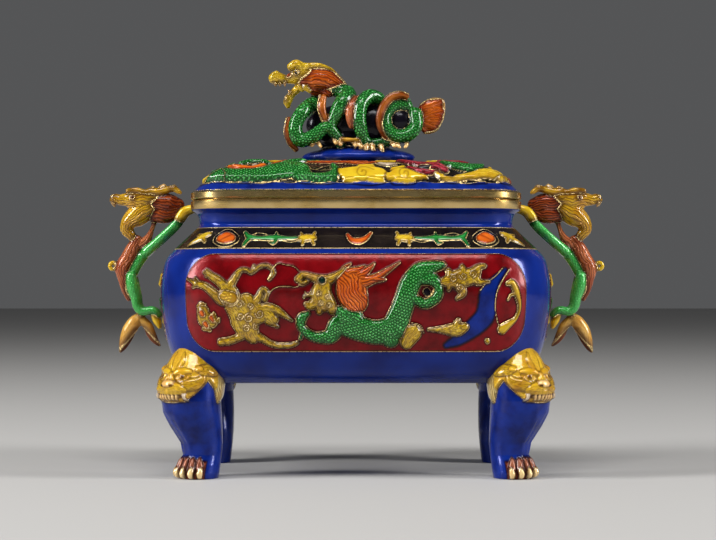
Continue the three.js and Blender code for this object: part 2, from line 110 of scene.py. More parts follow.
class Finish:
    """A material with one surface, and short ways to add nodes to it."""

    # The share, the two colours and the result of a Mix node, whose sockets share their names.
    MIX_INPUTS = (0, 6, 7)
    MIX_RESULT = 2

    def __init__(self, name):
        self.material = bpy.data.materials.new(name)
        self.material.use_nodes = True
        self.tree = self.material.node_tree
        self.tree.nodes.clear()
        self.surface = self.tree.nodes.new("ShaderNodeBsdfPrincipled")
        ending = self.tree.nodes.new("ShaderNodeOutputMaterial")
        self.tree.links.new(self.surface.outputs[0], ending.inputs[0])

    def feed(self, socket, value):
        """Links a shade to a socket, or sets the socket to a plain value."""
        if isinstance(value, Shade):
            self.tree.links.new(value.socket, socket)
        else:
            socket.default_value = value

    def node(self, kind, settings, *values, output=0, **named):
        """A node of a kind, with its settings first, then the values or links of its sockets."""
        made = self.tree.nodes.new("ShaderNode" + kind)
        for setting, value in settings.items():
            setattr(made, setting, value)
        for socket, value in zip(made.inputs, values):
            self.feed(socket, value)
        for socket, value in named.items():
            self.feed(made.inputs[socket.replace("_", " ")], value)
        return Shade(self, made.outputs[output])

    def blend(self, share, one, other):
        """One colour turning into the other as the share goes from 0 to 1."""
        made = self.tree.nodes.new("ShaderNodeMix")
        made.data_type = "RGBA"
        for place, value in zip(self.MIX_INPUTS, (share, one, other)):
            self.feed(made.inputs[place], value)
        return Shade(self, made.outputs[self.MIX_RESULT])

    def noise(self, place, scale, detail=2.0):
        """Grey clouds. The scale is how many there are to the metre."""
        return self.node("TexNoise", {}, Vector=place, Scale=scale, Detail=detail)

    def wear(self, **sockets):
        """Feeds sockets of the surface."""
        for socket, value in sockets.items():
            self.feed(self.surface.inputs[socket.replace("_", " ")], value)


bpy.ops.mesh.primitive_plane_add(size=TABLE_SIZE, location=(0, 0, 0))
table = bpy.context.object
table.name = "table"
table_finish = Finish("pale table")
table_finish.wear(Base_Color=TABLE_TONE, Roughness=TABLE_ROUGH)
table.data.materials.append(table_finish.material)

for place, turn, size, power in WINDOWS:
    bpy.ops.object.light_add(type="AREA", location=place, rotation=[math.radians(a) for a in turn])
    window = bpy.context.object.data
    window.shape = "RECTANGLE"
    window.size, window.size_y = size
    window.energy = power

room = bpy.context.scene.world or bpy.data.worlds.new("room")
bpy.context.scene.world = room
room.use_nodes = True
room.node_tree.nodes["Background"].inputs["Color"].default_value = ROOM_TONE
room.node_tree.nodes["Background"].inputs["Strength"].default_value = ROOM_GLOW
bpy.context.scene.view_settings.view_transform = "Standard"
bpy.ops.object.select_all(action="DESELECT")

# The vessel is one brass casting. At each height its outline is a core rectangle with a radius round
# it, so its wall is a turned form whose four quarters are pulled apart. Outside it is covered with
# cobalt enamel up to the polished rim, and inside the brass is bare.
CORE_X = 29.1
CORE_Y = 13
WALL_OUTSIDE = [
    (8, 22.6), (12.4, 24.9), (15.4, 29), (17.1, 34.8), (18, 43.5), (17.7, 48.6), (16.8, 52.2), (15, 54.4),
]
NECK_OUTSIDE = [(9.3, 59.8), (8.8, 60.8), (9.3, 63), (10.8, 64.1)]
RIM_OUTSIDE = [(11, 64.4), (11, 66.1), (10.7, 66.4), (9.2, 66.4)]
WALL_INSIDE = [
    (8.9, 66.1), (8.9, 64.4), (6.8, 61.8), (6.8, 59.8), (13, 53.4), (16, 43.5), (15.1, 35.2),
    (13.5, 30.2), (11, 26.6), (7, 24.6),
]
ON_AXIS = 0.01
COLUMNS = 96
SHARP = math.radians(40)
SAME_PLACE = 2e-6
NO_LENGTH = 1e-7
BARE_FROM, BARE_ABOVE = 64.15, 64.3
BLUE = (0.003, 0.02, 0.21)
DEEP_BLUE = (0.0015, 0.008, 0.11)
BLUE_CLOUDS = 110.0
BLUE_DIMPLES = 230.0
GOLD = (0.68, 0.5, 0.22)
DULL_GOLD = (0.4896, 0.33, 0.11)
GOLD_CLOUDS = 160.0
GOLD_ROUGH = 0.2
SCRATCHES = (400, 400, 9000)
# A little of the metal shines through the glass, which is smooth and has a thin clear coat.
GLASS_METAL = 0.15
GLASS_ROUGH = 0.16
GLASS_SHINE = 0.17


def curve(points, per_span):
    """A smooth line through points of any kind, as an array."""
    knots = np.array(points, float)
    ends = np.vstack([2 * knots[0] - knots[1], knots, 2 * knots[-1] - knots[-2]])
    share = np.linspace(0, 1, per_span, endpoint=False)[:, None]
    spans = []
    for a, b, c, d in zip(ends, ends[1:], ends[2:], ends[3:]):
        spans.append(0.5 * (2 * b + (c - a) * share + (2 * a - 5 * b + 4 * c - d) * share**2
                            + (3 * b - a - 3 * c + d) * share**3))
    return np.vstack(spans + [knots[-1:]])


def corners_of(piece):
    """The vertices of a piece, in millimetres."""
    flat = np.empty(3 * len(piece.data.vertices))
    piece.data.vertices.foreach_get("co", flat)
    return flat.reshape(-1, 3) / MM


def place_corners(piece, corners):
    """Moves the vertices of a piece to places in millimetres."""
    piece.data.vertices.foreach_set("co", (corners * MM).ravel())
    piece.data.update()


def edit(piece, *steps):
    """Runs steps on a piece in edit mode, each a function of nothing, with everything selected first."""
    bpy.ops.object.select_all(action="DESELECT")
    piece.select_set(True)
    bpy.context.view_layer.objects.active = piece
    bpy.ops.object.mode_set(mode="EDIT")
    bpy.ops.mesh.select_all(action="SELECT")
    for step in steps:
        step()
    bpy.ops.object.mode_set(mode="OBJECT")


def closed_up():
    """Merges the edges that meet, and turns the faces outwards."""
    bpy.ops.mesh.select_all(action="SELECT")
    bpy.ops.mesh.remove_doubles(threshold=SAME_PLACE)
    bpy.ops.mesh.dissolve_degenerate(threshold=NO_LENGTH)
    bpy.ops.mesh.select_all(action="SELECT")
    bpy.ops.mesh.normals_make_consistent(inside=False)


def turned(name, profile):
    """A form turned about Z from its profile, ring by ring, then pulled apart over the core rectangle."""
    (first_radius, first_height), *others = profile
    bpy.ops.mesh.primitive_circle_add(
        vertices=COLUMNS, radius=first_radius * MM, location=(0, 0, first_height * MM),
        rotation=(0, 0, math.pi / COLUMNS),
    )
    piece = bpy.context.object
    piece.name = name
    bpy.ops.object.transform_apply()
    bpy.ops.object.mode_set(mode="EDIT")
    radius, height = first_radius, first_height
    for next_radius, next_height in others:
        bpy.ops.mesh.extrude_edges_move(
            TRANSFORM_OT_translate={"value": (0, 0, (next_height - height) * MM)}
        )
        grow = next_radius / radius
        bpy.ops.transform.resize(value=(grow, grow, 1), center_override=(0, 0, next_height * MM))
        radius, height = next_radius, next_height
    bpy.ops.object.mode_set(mode="OBJECT")
    corners = corners_of(piece)
    off_axis = np.hypot(corners[:, 0], corners[:, 1]) > 2 * ON_AXIS
    corners[:, 0] += CORE_X * np.sign(corners[:, 0]) * off_axis
    corners[:, 1] += CORE_Y * np.sign(corners[:, 1]) * off_axis
    corners[~off_axis, :2] = 0
    place_corners(piece, corners)
    edit(piece, closed_up)
    bpy.ops.object.shade_smooth_by_angle(angle=SHARP)
    return piece


def stands_on_root(piece, slot, *nodes):
    """Fixes a piece to the burner's one body and hides the CAD nodes it replaces. Its slot is not used."""
    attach(piece, "root")
    if nodes:
        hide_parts(*nodes)


def polished(finish, place):
    """The colour and roughness of brass polished by hand, with fine scratches and an uneven shine."""
    scratches = finish.noise(finish.node("Mapping", {}, Vector=place, Scale=SCRATCHES), 1.0)
    cloud = finish.noise(place, GOLD_CLOUDS)
    colour = finish.blend(cloud.between(0.35, 0.75), (*GOLD, 1), (*DULL_GOLD, 1))
    return colour, GOLD_ROUGH + GOLD_ROUGH * cloud * scratches


wall_profile = [(ON_AXIS, 22.6), *curve(WALL_OUTSIDE, 5), *curve(NECK_OUTSIDE, 5), *RIM_OUTSIDE]
wall_profile += [*curve(WALL_INSIDE, 3), (ON_AXIS, 24.6)]
vessel = turned("vessel_wall", wall_profile)

cobalt = Finish("cobalt enamel over brass")
spot = cobalt.node("TexCoord", {}, output="Object")
height = cobalt.node("SeparateXYZ", {}, spot, output="Z")
depth_of_blue = cobalt.noise(spot, BLUE_CLOUDS, 3.0)
blue = cobalt.blend(depth_of_blue.between(0.3, 0.8), (*BLUE, 1), (*DEEP_BLUE, 1))
brass, brass_rough = polished(cobalt, spot)
bare = height.between(BARE_FROM * MM, BARE_ABOVE * MM)
cobalt.wear(
    Base_Color=cobalt.blend(bare, blue, brass),
    Metallic=GLASS_METAL + bare * (1 - GLASS_METAL),
    Roughness=bare * brass_rough + (1 - bare) * GLASS_ROUGH,
    Coat_Weight=(1 - bare) * 0.16,
    Coat_Roughness=0.04,
    Specular_IOR_Level=GLASS_SHINE,
    Normal=cobalt.node(
        "Bump", {}, Strength=0.25, Distance=0.4 * MM, Height=cobalt.noise(spot, BLUE_DIMPLES)),
)
vessel.data.materials.append(cobalt.material)
stands_on_root(vessel, "vessel_enamel", "vessel")

# Four panels are sunk into the blue belly, framed by a wire. Their crimson ground and their raised
# figures are cells of enamel between fine brass wires, all fired into the one casting.
CRIMSON = (0.2, 0.0015, 0.004)
YELLOW = (0.68, 0.46, 0.014)
FUR_GOLD = (0.56, 0.36, 0.008)
GREEN = (0.02, 0.26, 0.045)
ORANGE = (0.62, 0.13, 0.008)
GLASS_GREEN = (0.002, 0.03, 0.018)
CORE_BLACK = (0.006, 0.004, 0.010)
PANEL_LOW, PANEL_HIGH = 30.4, 53.3
PANEL_END = 40.9
PANEL_CORNER = 7.5
PANEL_ARC = 18
PANEL_LIFT = 0.12
FINE_STEP = 0.235
PAST_END, PAST_LOW, PAST_HIGH = 0.8, 0.7, 0.5
# A wire is seen this wide to each side of its line, and is lifted over a wider foot.
WIRE = 0.13
WIRE_FOOT = 0.5
WIRE_RISE = 0.15
GROOVE = 0.45
GROOVE_DEPTH = 0.25
GROOVE_SHADE = 0.22
SCALE_LENGTH = 0.64
SCALE_WIDTH = 0.72
# Past FAR there is no wire or seam, and a line changes nothing farther off than LOOK_ROUND.
FAR = 9.0
LOOK_ROUND = 1.2
# The grain of the glass, in clouds to the metre.
CLOUDS = 300.0
WOBBLES = 700.0
SPECKS = 2600.0


def reach(points, line):
    """How far points lie outside a tapering limb, how far along it, the way across it, and its heading."""
    out = np.full(len(points), np.inf)
    along = np.zeros(len(points))
    aside = np.zeros((len(points), line.shape[1] - 1))
    heading = np.zeros((len(points), line.shape[1] - 1))
    run = 0.0
    for a, b in zip(line, line[1:]):
        step = b[:-1] - a[:-1]
        length = max(np.linalg.norm(step), 1e-6)
        share = np.clip((points - a[:-1]) @ step / length**2, 0, 1)
        away = points - a[:-1] - share[:, None] * step
        gap = np.linalg.norm(away, axis=1) - (a[-1] + share * (b[-1] - a[-1]))
        closer = gap < out
        out[closer] = gap[closer]
        along[closer] = run + share[closer] * length
        aside[closer] = away[closer]
        heading[closer] = step / length
        run += length
    return out, along, aside, heading


class Cells:
    """Enamel cells drawn on an unrolled surface. Each of its points holds how far the surface stands out,
    its tint, how far the nearest wire and seam are, the run of its pattern, and its shares of scales,
    hair and fur."""

    def __init__(self, x, z, ground):
        self.spots = np.column_stack([x.ravel(), z.ravel()])
        count = len(self.spots)
        self.rise = np.zeros(count)
        self.wire = np.full(count, FAR)
        # The distance to the nearest seam sets where the enamel gets painted shade.
        self.seam = np.full(count, FAR)
        self.tint = np.tile(ground, (count, 1))
        self.flow = self.spots.copy()
        self.carving = np.zeros((count, 3))

    def near(self, lines):
        """The numbers of the points near some lines, which are the only ones that the lines change."""
        ends = np.vstack(lines)
        margin = ends[:, 2].max() + LOOK_ROUND
        low, high = ends[:, :2].min(axis=0) - margin, ends[:, :2].max(axis=0) + margin
        return np.flatnonzero(((self.spots > low) & (self.spots < high)).all(axis=1))

    def lay(self, limbs, tint, level, scales=0.0, hair=0.0, ripple=0.0, round_off=0.9, wired=True):
        """Lays one cell in the shape of some limbs together, each a line of points with radii."""
        lines = [curve(limb, 4) for limb in limbs]
        near = self.near(lines)
        points = self.spots[near]
        out = np.full(len(near), np.inf)
        flow = np.zeros((len(near), 2))
        for line in lines:
            gap, along, aside, heading = reach(points, line)
            side = heading[:, 0] * aside[:, 1] - heading[:, 1] * aside[:, 0]
            closer = gap < out
            out[closer] = gap[closer]
            flow[closer] = np.column_stack([along, side])[closer]
        inside = out < 0
        swell = np.sqrt(1 - (1 - np.clip(-out / round_off, 0, 1)) ** 2)
        old = self.rise[near]
        self.rise[near] = np.where(inside, old + (level - old) * swell, old)
        self.seam[near] = np.where(inside, -out, np.minimum(self.seam[near], out))
        around = np.minimum(self.wire[near], out) if wired else self.wire[near]
        self.wire[near] = np.where(inside, -out if wired else FAR, around)
        chosen = near[inside]
        self.tint[chosen] = tint
        self.flow[chosen] = flow[inside]
        self.carving[chosen] = (scales, hair, ripple)

    def draw(self, *lines, groove=False):
        """Draws wires, or else grooves, along lines of points."""
        for line in lines:
            path = curve([(x, z, 0.0) for x, z in line], 5)
            near = self.near([path])
            gap = reach(self.spots[near], path)[0]
            self.seam[near] = np.minimum(self.seam[near], gap + GROOVE_SHADE * groove)
            if groove:
                self.rise[near] -= GROOVE_DEPTH * np.clip(1 - gap / GROOVE, 0, 1)
            else:
                self.wire[near] = np.minimum(self.wire[near], gap)
                self.rise[near] += WIRE_RISE * np.clip(1 - gap / WIRE_FOOT, 0, 1)

    def soften(self, columns):
        """Rounds the steps of the relief a little, as the glaze does. The points lie in rows of columns."""
        field = self.rise.reshape(-1, columns)
        ends = [0, -1]
        for axis in (0, 1):
            before, after = np.roll(field, 1, axis), np.roll(field, -1, axis)
            if axis == 0:
                before[ends], after[ends] = field[ends], field[ends]
            field = (before + 2 * field + after) / 4
        self.rise = field.ravel()


def outline_marks(arc):
    """Where the straight and the round stretches of the vessel's outline end, counted in millimetres
    from the middle of the front, when its corners have the radius arc. The last is the whole way round."""
    corner = arc * math.pi / 2
    lengths = [CORE_X, corner, 2 * CORE_Y, corner, 2 * CORE_X, corner, 2 * CORE_Y, corner, CORE_X]
    return np.concatenate([[0], np.cumsum(lengths)])


def stations(x, arc):
    """Where places along the vessel's outline are, as shares of its core and an angle."""
    marks = outline_marks(arc)
    x = np.mod(x, marks[-1])
    core_x = np.interp(x, marks, [0, 1, 1, 1, 1, -1, -1, -1, -1, 0])
    core_y = np.interp(x, marks, [-1, -1, -1, 1, 1, 1, 1, -1, -1, -1])
    angle = np.interp(x, marks, np.radians([-90, -90, 0, 0, 90, 90, 180, 180, 270, 270]))
    return core_x, core_y, angle


def on_profile(profile):
    """A function that sets points on the wall of a profile: from places along the outline, heights and
    distances out from the wall to X, Y and Z."""
    line = curve(profile, 8)
    slope = np.gradient(line, axis=0)
    slope /= np.linalg.norm(slope, axis=1)[:, None]

    def put(x, z, rise, arc):
        core_x, core_y, angle = stations(x, arc)
        rho = np.interp(z, line[:, 1], line[:, 0])
        out = np.interp(z, line[:, 1], slope[:, 1])
        up = np.interp(z, line[:, 1], -slope[:, 0])
        rho = rho + rise * out
        return np.column_stack([
            core_x * CORE_X + rho * np.cos(angle),
            core_y * CORE_Y + rho * np.sin(angle),
            z + rise * up,
        ])

    return put


def sheet(name, columns, rows, place):
    """A grid bent into place. The place function takes arrays of column and row numbers."""
    bpy.ops.mesh.primitive_grid_add(x_subdivisions=columns - 1, y_subdivisions=rows - 1, size=1)
    piece = bpy.context.object
    piece.name = name
    flat = corners_of(piece) * MM
    column = np.rint((flat[:, 0] + 0.5) * (columns - 1)).astype(int)
    row = np.rint((flat[:, 1] + 0.5) * (rows - 1)).astype(int)
    place_corners(piece, place(column, row))
    return piece, column, row


def give(piece, name, values):
    """Writes an attribute for each vertex of a piece."""
    width = values.shape[1] if values.ndim > 1 else 1
    kind = {1: "FLOAT", 3: "FLOAT_VECTOR", 4: "FLOAT_COLOR"}[width]
    attribute = piece.data.attributes.new(name, kind, "POINT")
    attribute.data.foreach_set({1: "value", 3: "vector", 4: "color"}[width], values.astype("f").ravel())


def give_cells(piece, cells, picked):
    """Writes what the picked points of some cells hold on a piece, for its material."""
    give(piece, "tint", np.column_stack([cells.tint, np.ones(len(cells.tint))])[picked])
    give(piece, "wire", cells.wire[picked])
    give(piece, "seam", cells.seam[picked])
    give(piece, "flow", np.column_stack([cells.flow, np.zeros(len(cells.flow))])[picked])
    give(piece, "carving", cells.carving[picked])


def relief_sheet(name, cells, x_line, z_line, put, arc, base, back_rows=4, depth=-0.7):
    """A closed slab of enamel: its face carries the cells, and its plain back lies inside the wall."""
    columns, face_rows = len(x_line), len(z_line)
    cells.soften(columns)
    rows = face_rows + back_rows + 1
    back_z = np.linspace(z_line[-1], z_line[0], back_rows + 2)[1:]
    open_ended = abs(x_line[-1] - x_line[0]) < 0.9 * outline_marks(arc)[-1]

    def place(column, row):
        face = np.minimum(row, face_rows - 1)
        front = row < face_rows
        z = np.where(front, z_line[face], back_z[np.clip(row - face_rows, 0, back_rows)])
        rim = (row == 0) | (row == face_rows - 1) | (row == rows - 1)
        ends = (column == 0) | (column == columns - 1)
        rise = np.where(front, (base + cells.rise)[face * columns + column], depth)
        rise = np.where(rim | (ends & open_ended), depth, rise)
        return put(x_line[column], z, rise, arc)

    piece, column, row = sheet(name, columns, rows, place)
    give_cells(piece, cells, np.minimum(row, face_rows - 1) * columns + column)
    edit(piece, closed_up)
    bpy.ops.object.shade_smooth()
    return piece


def enamel(name):
    """Glossy fired enamel in cells between brass wires. Scales and hair are engraved under the colour."""
    finish = Finish(name)
    spot = finish.node("TexCoord", {}, output="Object")
    tint = finish.node("Attribute", {"attribute_name": "tint"}, output="Color")
    wire = finish.node("Attribute", {"attribute_name": "wire"}, output="Fac")
    seam = finish.node("Attribute", {"attribute_name": "seam"}, output="Fac")
    flow = finish.node("Attribute", {"attribute_name": "flow"}, output="Vector")
    carving = finish.node("Attribute", {"attribute_name": "carving"}, output="Vector")
    along, across = (finish.node("SeparateXYZ", {}, flow, output=axis) for axis in "XY")
    scaled, haired, rippled = (finish.node("SeparateXYZ", {}, carving, output=axis) for axis in "XYZ")
    wobble = finish.noise(spot, WOBBLES)

    # Scales lie in rows across the body, each row set half a scale aside.
    row = along / SCALE_LENGTH + 1.3 * wobble
    row_start = row.math("FLOOR")
    shift = (row_start * 0.5).math("FRACT")
    from_middle = (across / SCALE_WIDTH + shift + 0.8 * wobble + 200.25).math("FRACT") - 0.5
    x, y = from_middle * SCALE_WIDTH, (row - row_start - 0.5) * SCALE_LENGTH
    from_centre = (x * x + y * y).math("SQRT")
    scale = (1 - from_centre.between(SCALE_WIDTH * 0.1, SCALE_WIDTH * 0.46)) * scaled

    # Hair runs along the mane in wavy strands, and fur lies in short streaks.
    bend = finish.noise(spot, CLOUDS)
    strand = ((across * 9.0 + bend * 22.0).math("SINE") * 0.5 + 0.5) * haired
    streaks = finish.node("Mapping", {}, Vector=flow, Scale=(1.1, 3.6, 1.0))
    ripple = finish.noise(streaks, 1.0, 3.0).between(0.45, 0.62) * rippled
    groove = (strand.between(0.3, 0.95) * 0.85).math("MAXIMUM", ripple)

    # Enamel is glass: where it lies deeper its colour is its own square, and darker still in grooves.
    cloud = finish.noise(spot, CLOUDS, 3.0)
    speck = finish.noise(spot, SPECKS)
    thick = finish.node("VectorMath", {"operation": "MULTIPLY"}, tint, tint)
    deep_glass_and_shade = finish.node("VectorMath", {"operation": "SCALE"}, thick, Scale=0.3)
    # A paler tint, used for the painted highlights on the scales.
    pale = finish.node("VectorMath", {"operation": "MULTIPLY_ADD"}, tint, (1.5, 1.5, 1.5),
                       (0.07, 0.1, 0.03))
    colour = finish.blend(cloud.between(0.3, 0.8) * 0.7, tint, thick)
    colour = finish.blend(scaled * 0.95 * (1 - scale), colour, thick)
    # Painted highlight: the middles of the scales are lightened in specks.
    colour = finish.blend(scale * scale * speck.between(0.35, 0.6) * 0.8, colour, pale)
    colour = finish.blend(groove * 0.9, colour, deep_glass_and_shade)
    # Painted shade: the enamel is darkened towards every seam, wire and groove.
    corner = (1 - seam.between(WIRE * 0.6, 0.6)) * 0.85
    colour = finish.blend(corner, colour, deep_glass_and_shade)
    metal = (1 - wire.between(WIRE - 0.06, WIRE)) * speck.between(0.25, 0.5)
    colour = finish.blend(metal, colour, (*GOLD, 1))
    relief = scale * 0.8 - groove * 0.9 + metal * 0.6 + speck * 0.12 + cloud * 0.3

    # The yellow and green glazes are the shiniest.
    bright = finish.node("SeparateColor", {}, tint, output="Green")
    finish.wear(
        Base_Color=colour,
        Metallic=GLASS_METAL + metal * (1 - GLASS_METAL),
        Roughness=GLASS_ROUGH + 0.12 * speck + metal * 0.1,
        Coat_Weight=(1 - metal) * (0.14 + bright * 1.5),
        Coat_Roughness=0.05,
        Specular_IOR_Level=GLASS_SHINE,
        Normal=finish.node("Bump", {}, Strength=1.0, Distance=0.28 * MM, Height=relief),
    )
    return finish


on_wall = on_profile([(4, 22.3)] + WALL_OUTSIDE + NECK_OUTSIDE)
panel_enamel = enamel("panel enamel")


def unrolled(points):
    """Points seen square on from the front, moved to where they lie round the corners."""
    moved = []
    for x, z, *radius in points:
        past = abs(x) - CORE_X
        if past > 0:
            x = math.copysign(CORE_X + PANEL_ARC * math.asin(min(past / PANEL_ARC, 1)), x)
        moved.append((x, z, *radius))
    return moved


def framed(cells, half_length, middle):
    """Sinks everything outside a panel's rounded outline, and draws the wire that frames it."""
    x, z = cells.spots.T
    half_height = (PANEL_HIGH - PANEL_LOW) / 2
    from_corner = np.column_stack([
        np.abs(x - middle) - (half_length - PANEL_CORNER),
        np.abs(z - (PANEL_HIGH + PANEL_LOW) / 2) - (half_height - PANEL_CORNER),
    ])
    past_corner = np.linalg.norm(np.maximum(from_corner, 0), axis=1)
    out = past_corner + np.minimum(from_corner.max(axis=1), 0) - PANEL_CORNER
    sunk = -0.15 - 0.5 * np.clip(out / 0.6, 0, 1)
    raised = cells.rise * np.clip(-out / 0.8, 0, 1) ** 0.5
    cells.wire = np.where(out > 0.4, FAR, np.minimum(cells.wire, np.abs(out)))
    # Painted shade also darkens the enamel along the frame.
    cells.seam = np.where(out > 0.6, FAR, np.minimum(cells.seam, np.abs(out)))
    cells.rise = np.where(out > 0, sunk, raised) + 0.18 * np.clip(1 - np.abs(out) / 0.4, 0, 1)
    cells.tint[out > 0] = BLUE


def grid_lines(low, high, step):
    """Evenly spaced places from low to high, about a step apart."""
    return np.linspace(low, high, int(round((high - low) / step)) + 1)


front_x = grid_lines(-PANEL_END - PAST_END, PANEL_END + PAST_END, FINE_STEP)
front_z = grid_lines(PANEL_LOW - PAST_LOW, PANEL_HIGH + PAST_HIGH, FINE_STEP)
front_cells = Cells(*np.meshgrid(front_x, front_z), CRIMSON)

# The blue wave comes first, then the beast on the left, the big dragon and the small things round it.
wave = [
    (35.1, 49.6, 0.4), (33.9, 48.4, 0.75), (32.4, 46.8, 1.2), (30.9, 44.4, 1.9), (30.5, 41.4, 2),
    (30.2, 38.9, 2.3), (28.4, 36.8, 2.2), (26, 34.9, 1.9), (23.8, 33.2, 1.4), (21.2, 31.9, 0.7),
]
front_cells.lay([unrolled(wave)], BLUE, 0.1, wired=False)
front_cells.draw(unrolled([(34.4, 49.9), (32.6, 48), (30.4, 46.4), (28.9, 44.6)]))
front_cells.draw(unrolled([(36, 49.6), (34.2, 47), (32.9, 44.4), (32.5, 41), (33, 38), (33.9, 35.6)]))
beast = [
    [(-29.5, 43.9, 2.2), (-29.3, 42.9, 2.3)],
    [(-30, 44.9, 1.4), (-30.9, 45.9, 1.1), (-32.3, 47.1, 1), (-34, 48.2, 0.8), (-34.9, 49.4, 0.35)],
    [(-34, 48.2, 0.6), (-35.5, 48.9, 0.32)],
    [(-33.8, 48, 0.6), (-35, 48, 0.3)],
    [(-29.4, 45.6, 1.1), (-28.9, 46.5, 0.9), (-27.8, 48.2, 0.75), (-26.9, 49.3, 0.55), (-25.5, 49.4, 0.5),
     (-24.3, 48.8, 0.4), (-22.6, 50.1, 0.45), (-20.9, 50.4, 0.45), (-19.5, 49.6, 0.45),
     (-19.2, 48.5, 0.4), (-20.2, 47.1, 0.22)],
    [(-24.2, 48.9, 0.4), (-23.8, 50.3, 0.3)],
    [(-30.4, 42.6, 1.6), (-31.5, 42.7, 1.3), (-33.2, 44.2, 1), (-35.2, 45.7, 0.85), (-37.1, 46.2, 0.7),
     (-38.4, 46.9, 0.35), (-39.4, 47.3, 0.22)],
    [(-36.9, 46.2, 0.6), (-38, 45.4, 0.3)],
    [(-36.8, 46.2, 0.6), (-37.6, 47.6, 0.25)],
    [(-28, 41.4, 2.6), (-26.6, 39.8, 3.2), (-26, 38.4, 3.2), (-25.2, 36, 2.4), (-24, 33.9, 1.5)],
    [(-25.5, 42, 2), (-23.8, 39.6, 2.7), (-20.9, 39.3, 1.6), (-19.2, 38, 1.2)],
    [(-27.4, 37.4, 1.8), (-26.4, 35, 1.4), (-27.4, 33.8, 0.9), (-29.5, 33, 0.9), (-31.7, 32.7, 0.85)],
    [(-23.4, 42, 1), (-22.6, 43.3, 0.8), (-21.8, 45, 0.5), (-20.7, 44.4, 0.5), (-21.2, 42.5, 0.55)],
    [(-22, 40.4, 1), (-20.6, 40.9, 0.9), (-18.6, 40.2, 0.9), (-16.9, 39.1, 0.65), (-14.9, 37.7, 0.25)],
    [(-20.4, 37.6, 0.9), (-18.2, 36.3, 0.3)],
    [(-24, 34.4, 1.2), (-21.6, 33.3, 0.8), (-20.2, 32.5, 0.7), (-18.1, 31.9, 0.65), (-15.2, 32, 0.6),
     (-13.8, 32.5, 0.45)],
]
front_cells.lay([unrolled(limb) for limb in beast], FUR_GOLD, 1.0, ripple=0.85)
front_cells.lay([unrolled([(-30.4, 43.5, 1.3), (-28.9, 43, 1.4)])], FUR_GOLD, 1.15, scales=0.7)
front_cells.draw(
    unrolled([(-31.8, 43.4), (-30.6, 41.6), (-28.6, 41.2), (-27.3, 42.4), (-27.2, 44.2)]),
    [(-20.6, 47.2), (-18.6, 50.7), (-16.3, 50.6), (-14.4, 50.2), (-13.2, 49.1), (-12.4, 48.8)],
    [(-20.4, 43.6), (-19.5, 44.8), (-18.1, 45.5), (-16, 45.6), (-13.8, 45.5), (-12.4, 46.5), (-11, 46.7)],
)
front_cells.lay([unrolled([(-35.8, 39.8, 1.5), (-35.4, 38, 1.9), (-34, 37.6, 1.7)])], FUR_GOLD, 0.5,
                ripple=0.6)
for place in ((-36, 39.6), (-35.2, 37), (-33.6, 38.4)):
    front_cells.lay([unrolled([(*place, 0.65), (place[0] + 0.3, place[1] - 0.5, 0.6)])], ORANGE, 0.7)
front_cells.lay([unrolled([(-37, 40.9, 0.3), (-36.2, 41.6, 0.4), (-35.3, 41.4, 0.3)]),
                 unrolled([(-33.2, 39.4, 0.3), (-32.3, 37.4, 0.35), (-31.9, 38.2, 0.2)]),
                 unrolled([(-36, 35.7, 0.3), (-34.3, 35.4, 0.35)])], FUR_GOLD, 0.6)


def curl(x, z, size, start):
    """A small spiral, wound one and a quarter times round a place."""
    turns = [(start + step * 45, size * (1.15 - step / 12)) for step in range(11)]
    return [(x + r * math.cos(math.radians(a)), z + r * math.sin(math.radians(a))) for a, r in turns]


beast_curls = [
    (-27, 41.6, 0.9, 0), (-24.9, 38.4, 1, 90), (-22.4, 39.4, 0.9, 180), (-26.9, 38.8, 0.8, 200),
    (-25.4, 36, 0.8, 20), (-23.2, 36.4, 0.7, 120), (-24.6, 41.2, 0.7, 270),
]
front_cells.draw(*[unrolled(curl(*sizes)) for sizes in beast_curls])

dragon = [
    [(20.2, 50.5, 0.9), (17.3, 49.9, 1.6), (14.7, 48.8, 2.2), (12.7, 46.1, 2.4), (11.7, 43.2, 2.5),
     (10.5, 39.9, 2.6), (8.6, 36, 3), (4.5, 35, 2.8), (-0.5, 36.2, 2.8), (-3.8, 36.8, 2.4),
     (-5.8, 34.2, 1.8), (-8.7, 33.8, 1.3), (-10.9, 34.5, 1.1), (-12.7, 36.3, 1), (-12.6, 38.3, 1.2),
     (-11.2, 39.3, 0.6)],
    [(-2.6, 38, 2), (-3.8, 40, 1.2)],
    [(0, 38.4, 1.8), (-1.5, 39.8, 1.4)],
    [(7.6, 34.6, 2.8), (8.2, 33.4, 2)],
    [(14.6, 47.5, 1.6), (17.6, 47.3, 1.6), (19.2, 45.6, 1.1), (18.9, 43.2, 1.2), (16.4, 41.6, 1.2),
     (14.2, 42.4, 1.2)],
    [(-12.6, 34.8, 0.4), (-12.9, 33.6, 0.45)],
]
front_cells.lay(dragon, GREEN, 1.3, scales=1.0, round_off=1.5)
front_cells.lay([[(16.5, 44.5, 0.85), (16.7, 44.2, 0.85)]], CORE_BLACK, 0.2)
front_cells.draw([(16.2, 43.2), (17.6, 43.6), (18, 44.8)], [(20.9, 50.6), (20, 51.4), (18.6, 51.5)],
                 [(20.4, 50), (21, 48.6)])
mane = [
    [(-2.3, 47.4, 2.4), (-1.2, 46, 3.4), (-0.8, 43.8, 3.5), (0.6, 42, 2.2), (1.4, 40.6, 0.8)],
    [(-1.4, 48.4, 1.6), (0.6, 49.4, 0.8), (2, 50.2, 0.3)],
    [(1, 48, 1.4), (3, 49.6, 0.7), (4.3, 50.9, 0.22)],
    [(1.6, 46.6, 1.6), (4.5, 47.5, 1), (7.4, 49.3, 0.6), (10.2, 51.1, 0.2)],
    [(4.4, 47.2, 0.9), (6.9, 47.2, 0.25)],
    [(-3.4, 48.6, 0.9), (-2.5, 50, 0.5), (-1.2, 50.8, 0.22)],
]
front_cells.lay(mane, ORANGE, 1.2, hair=1.0, round_off=1.2)
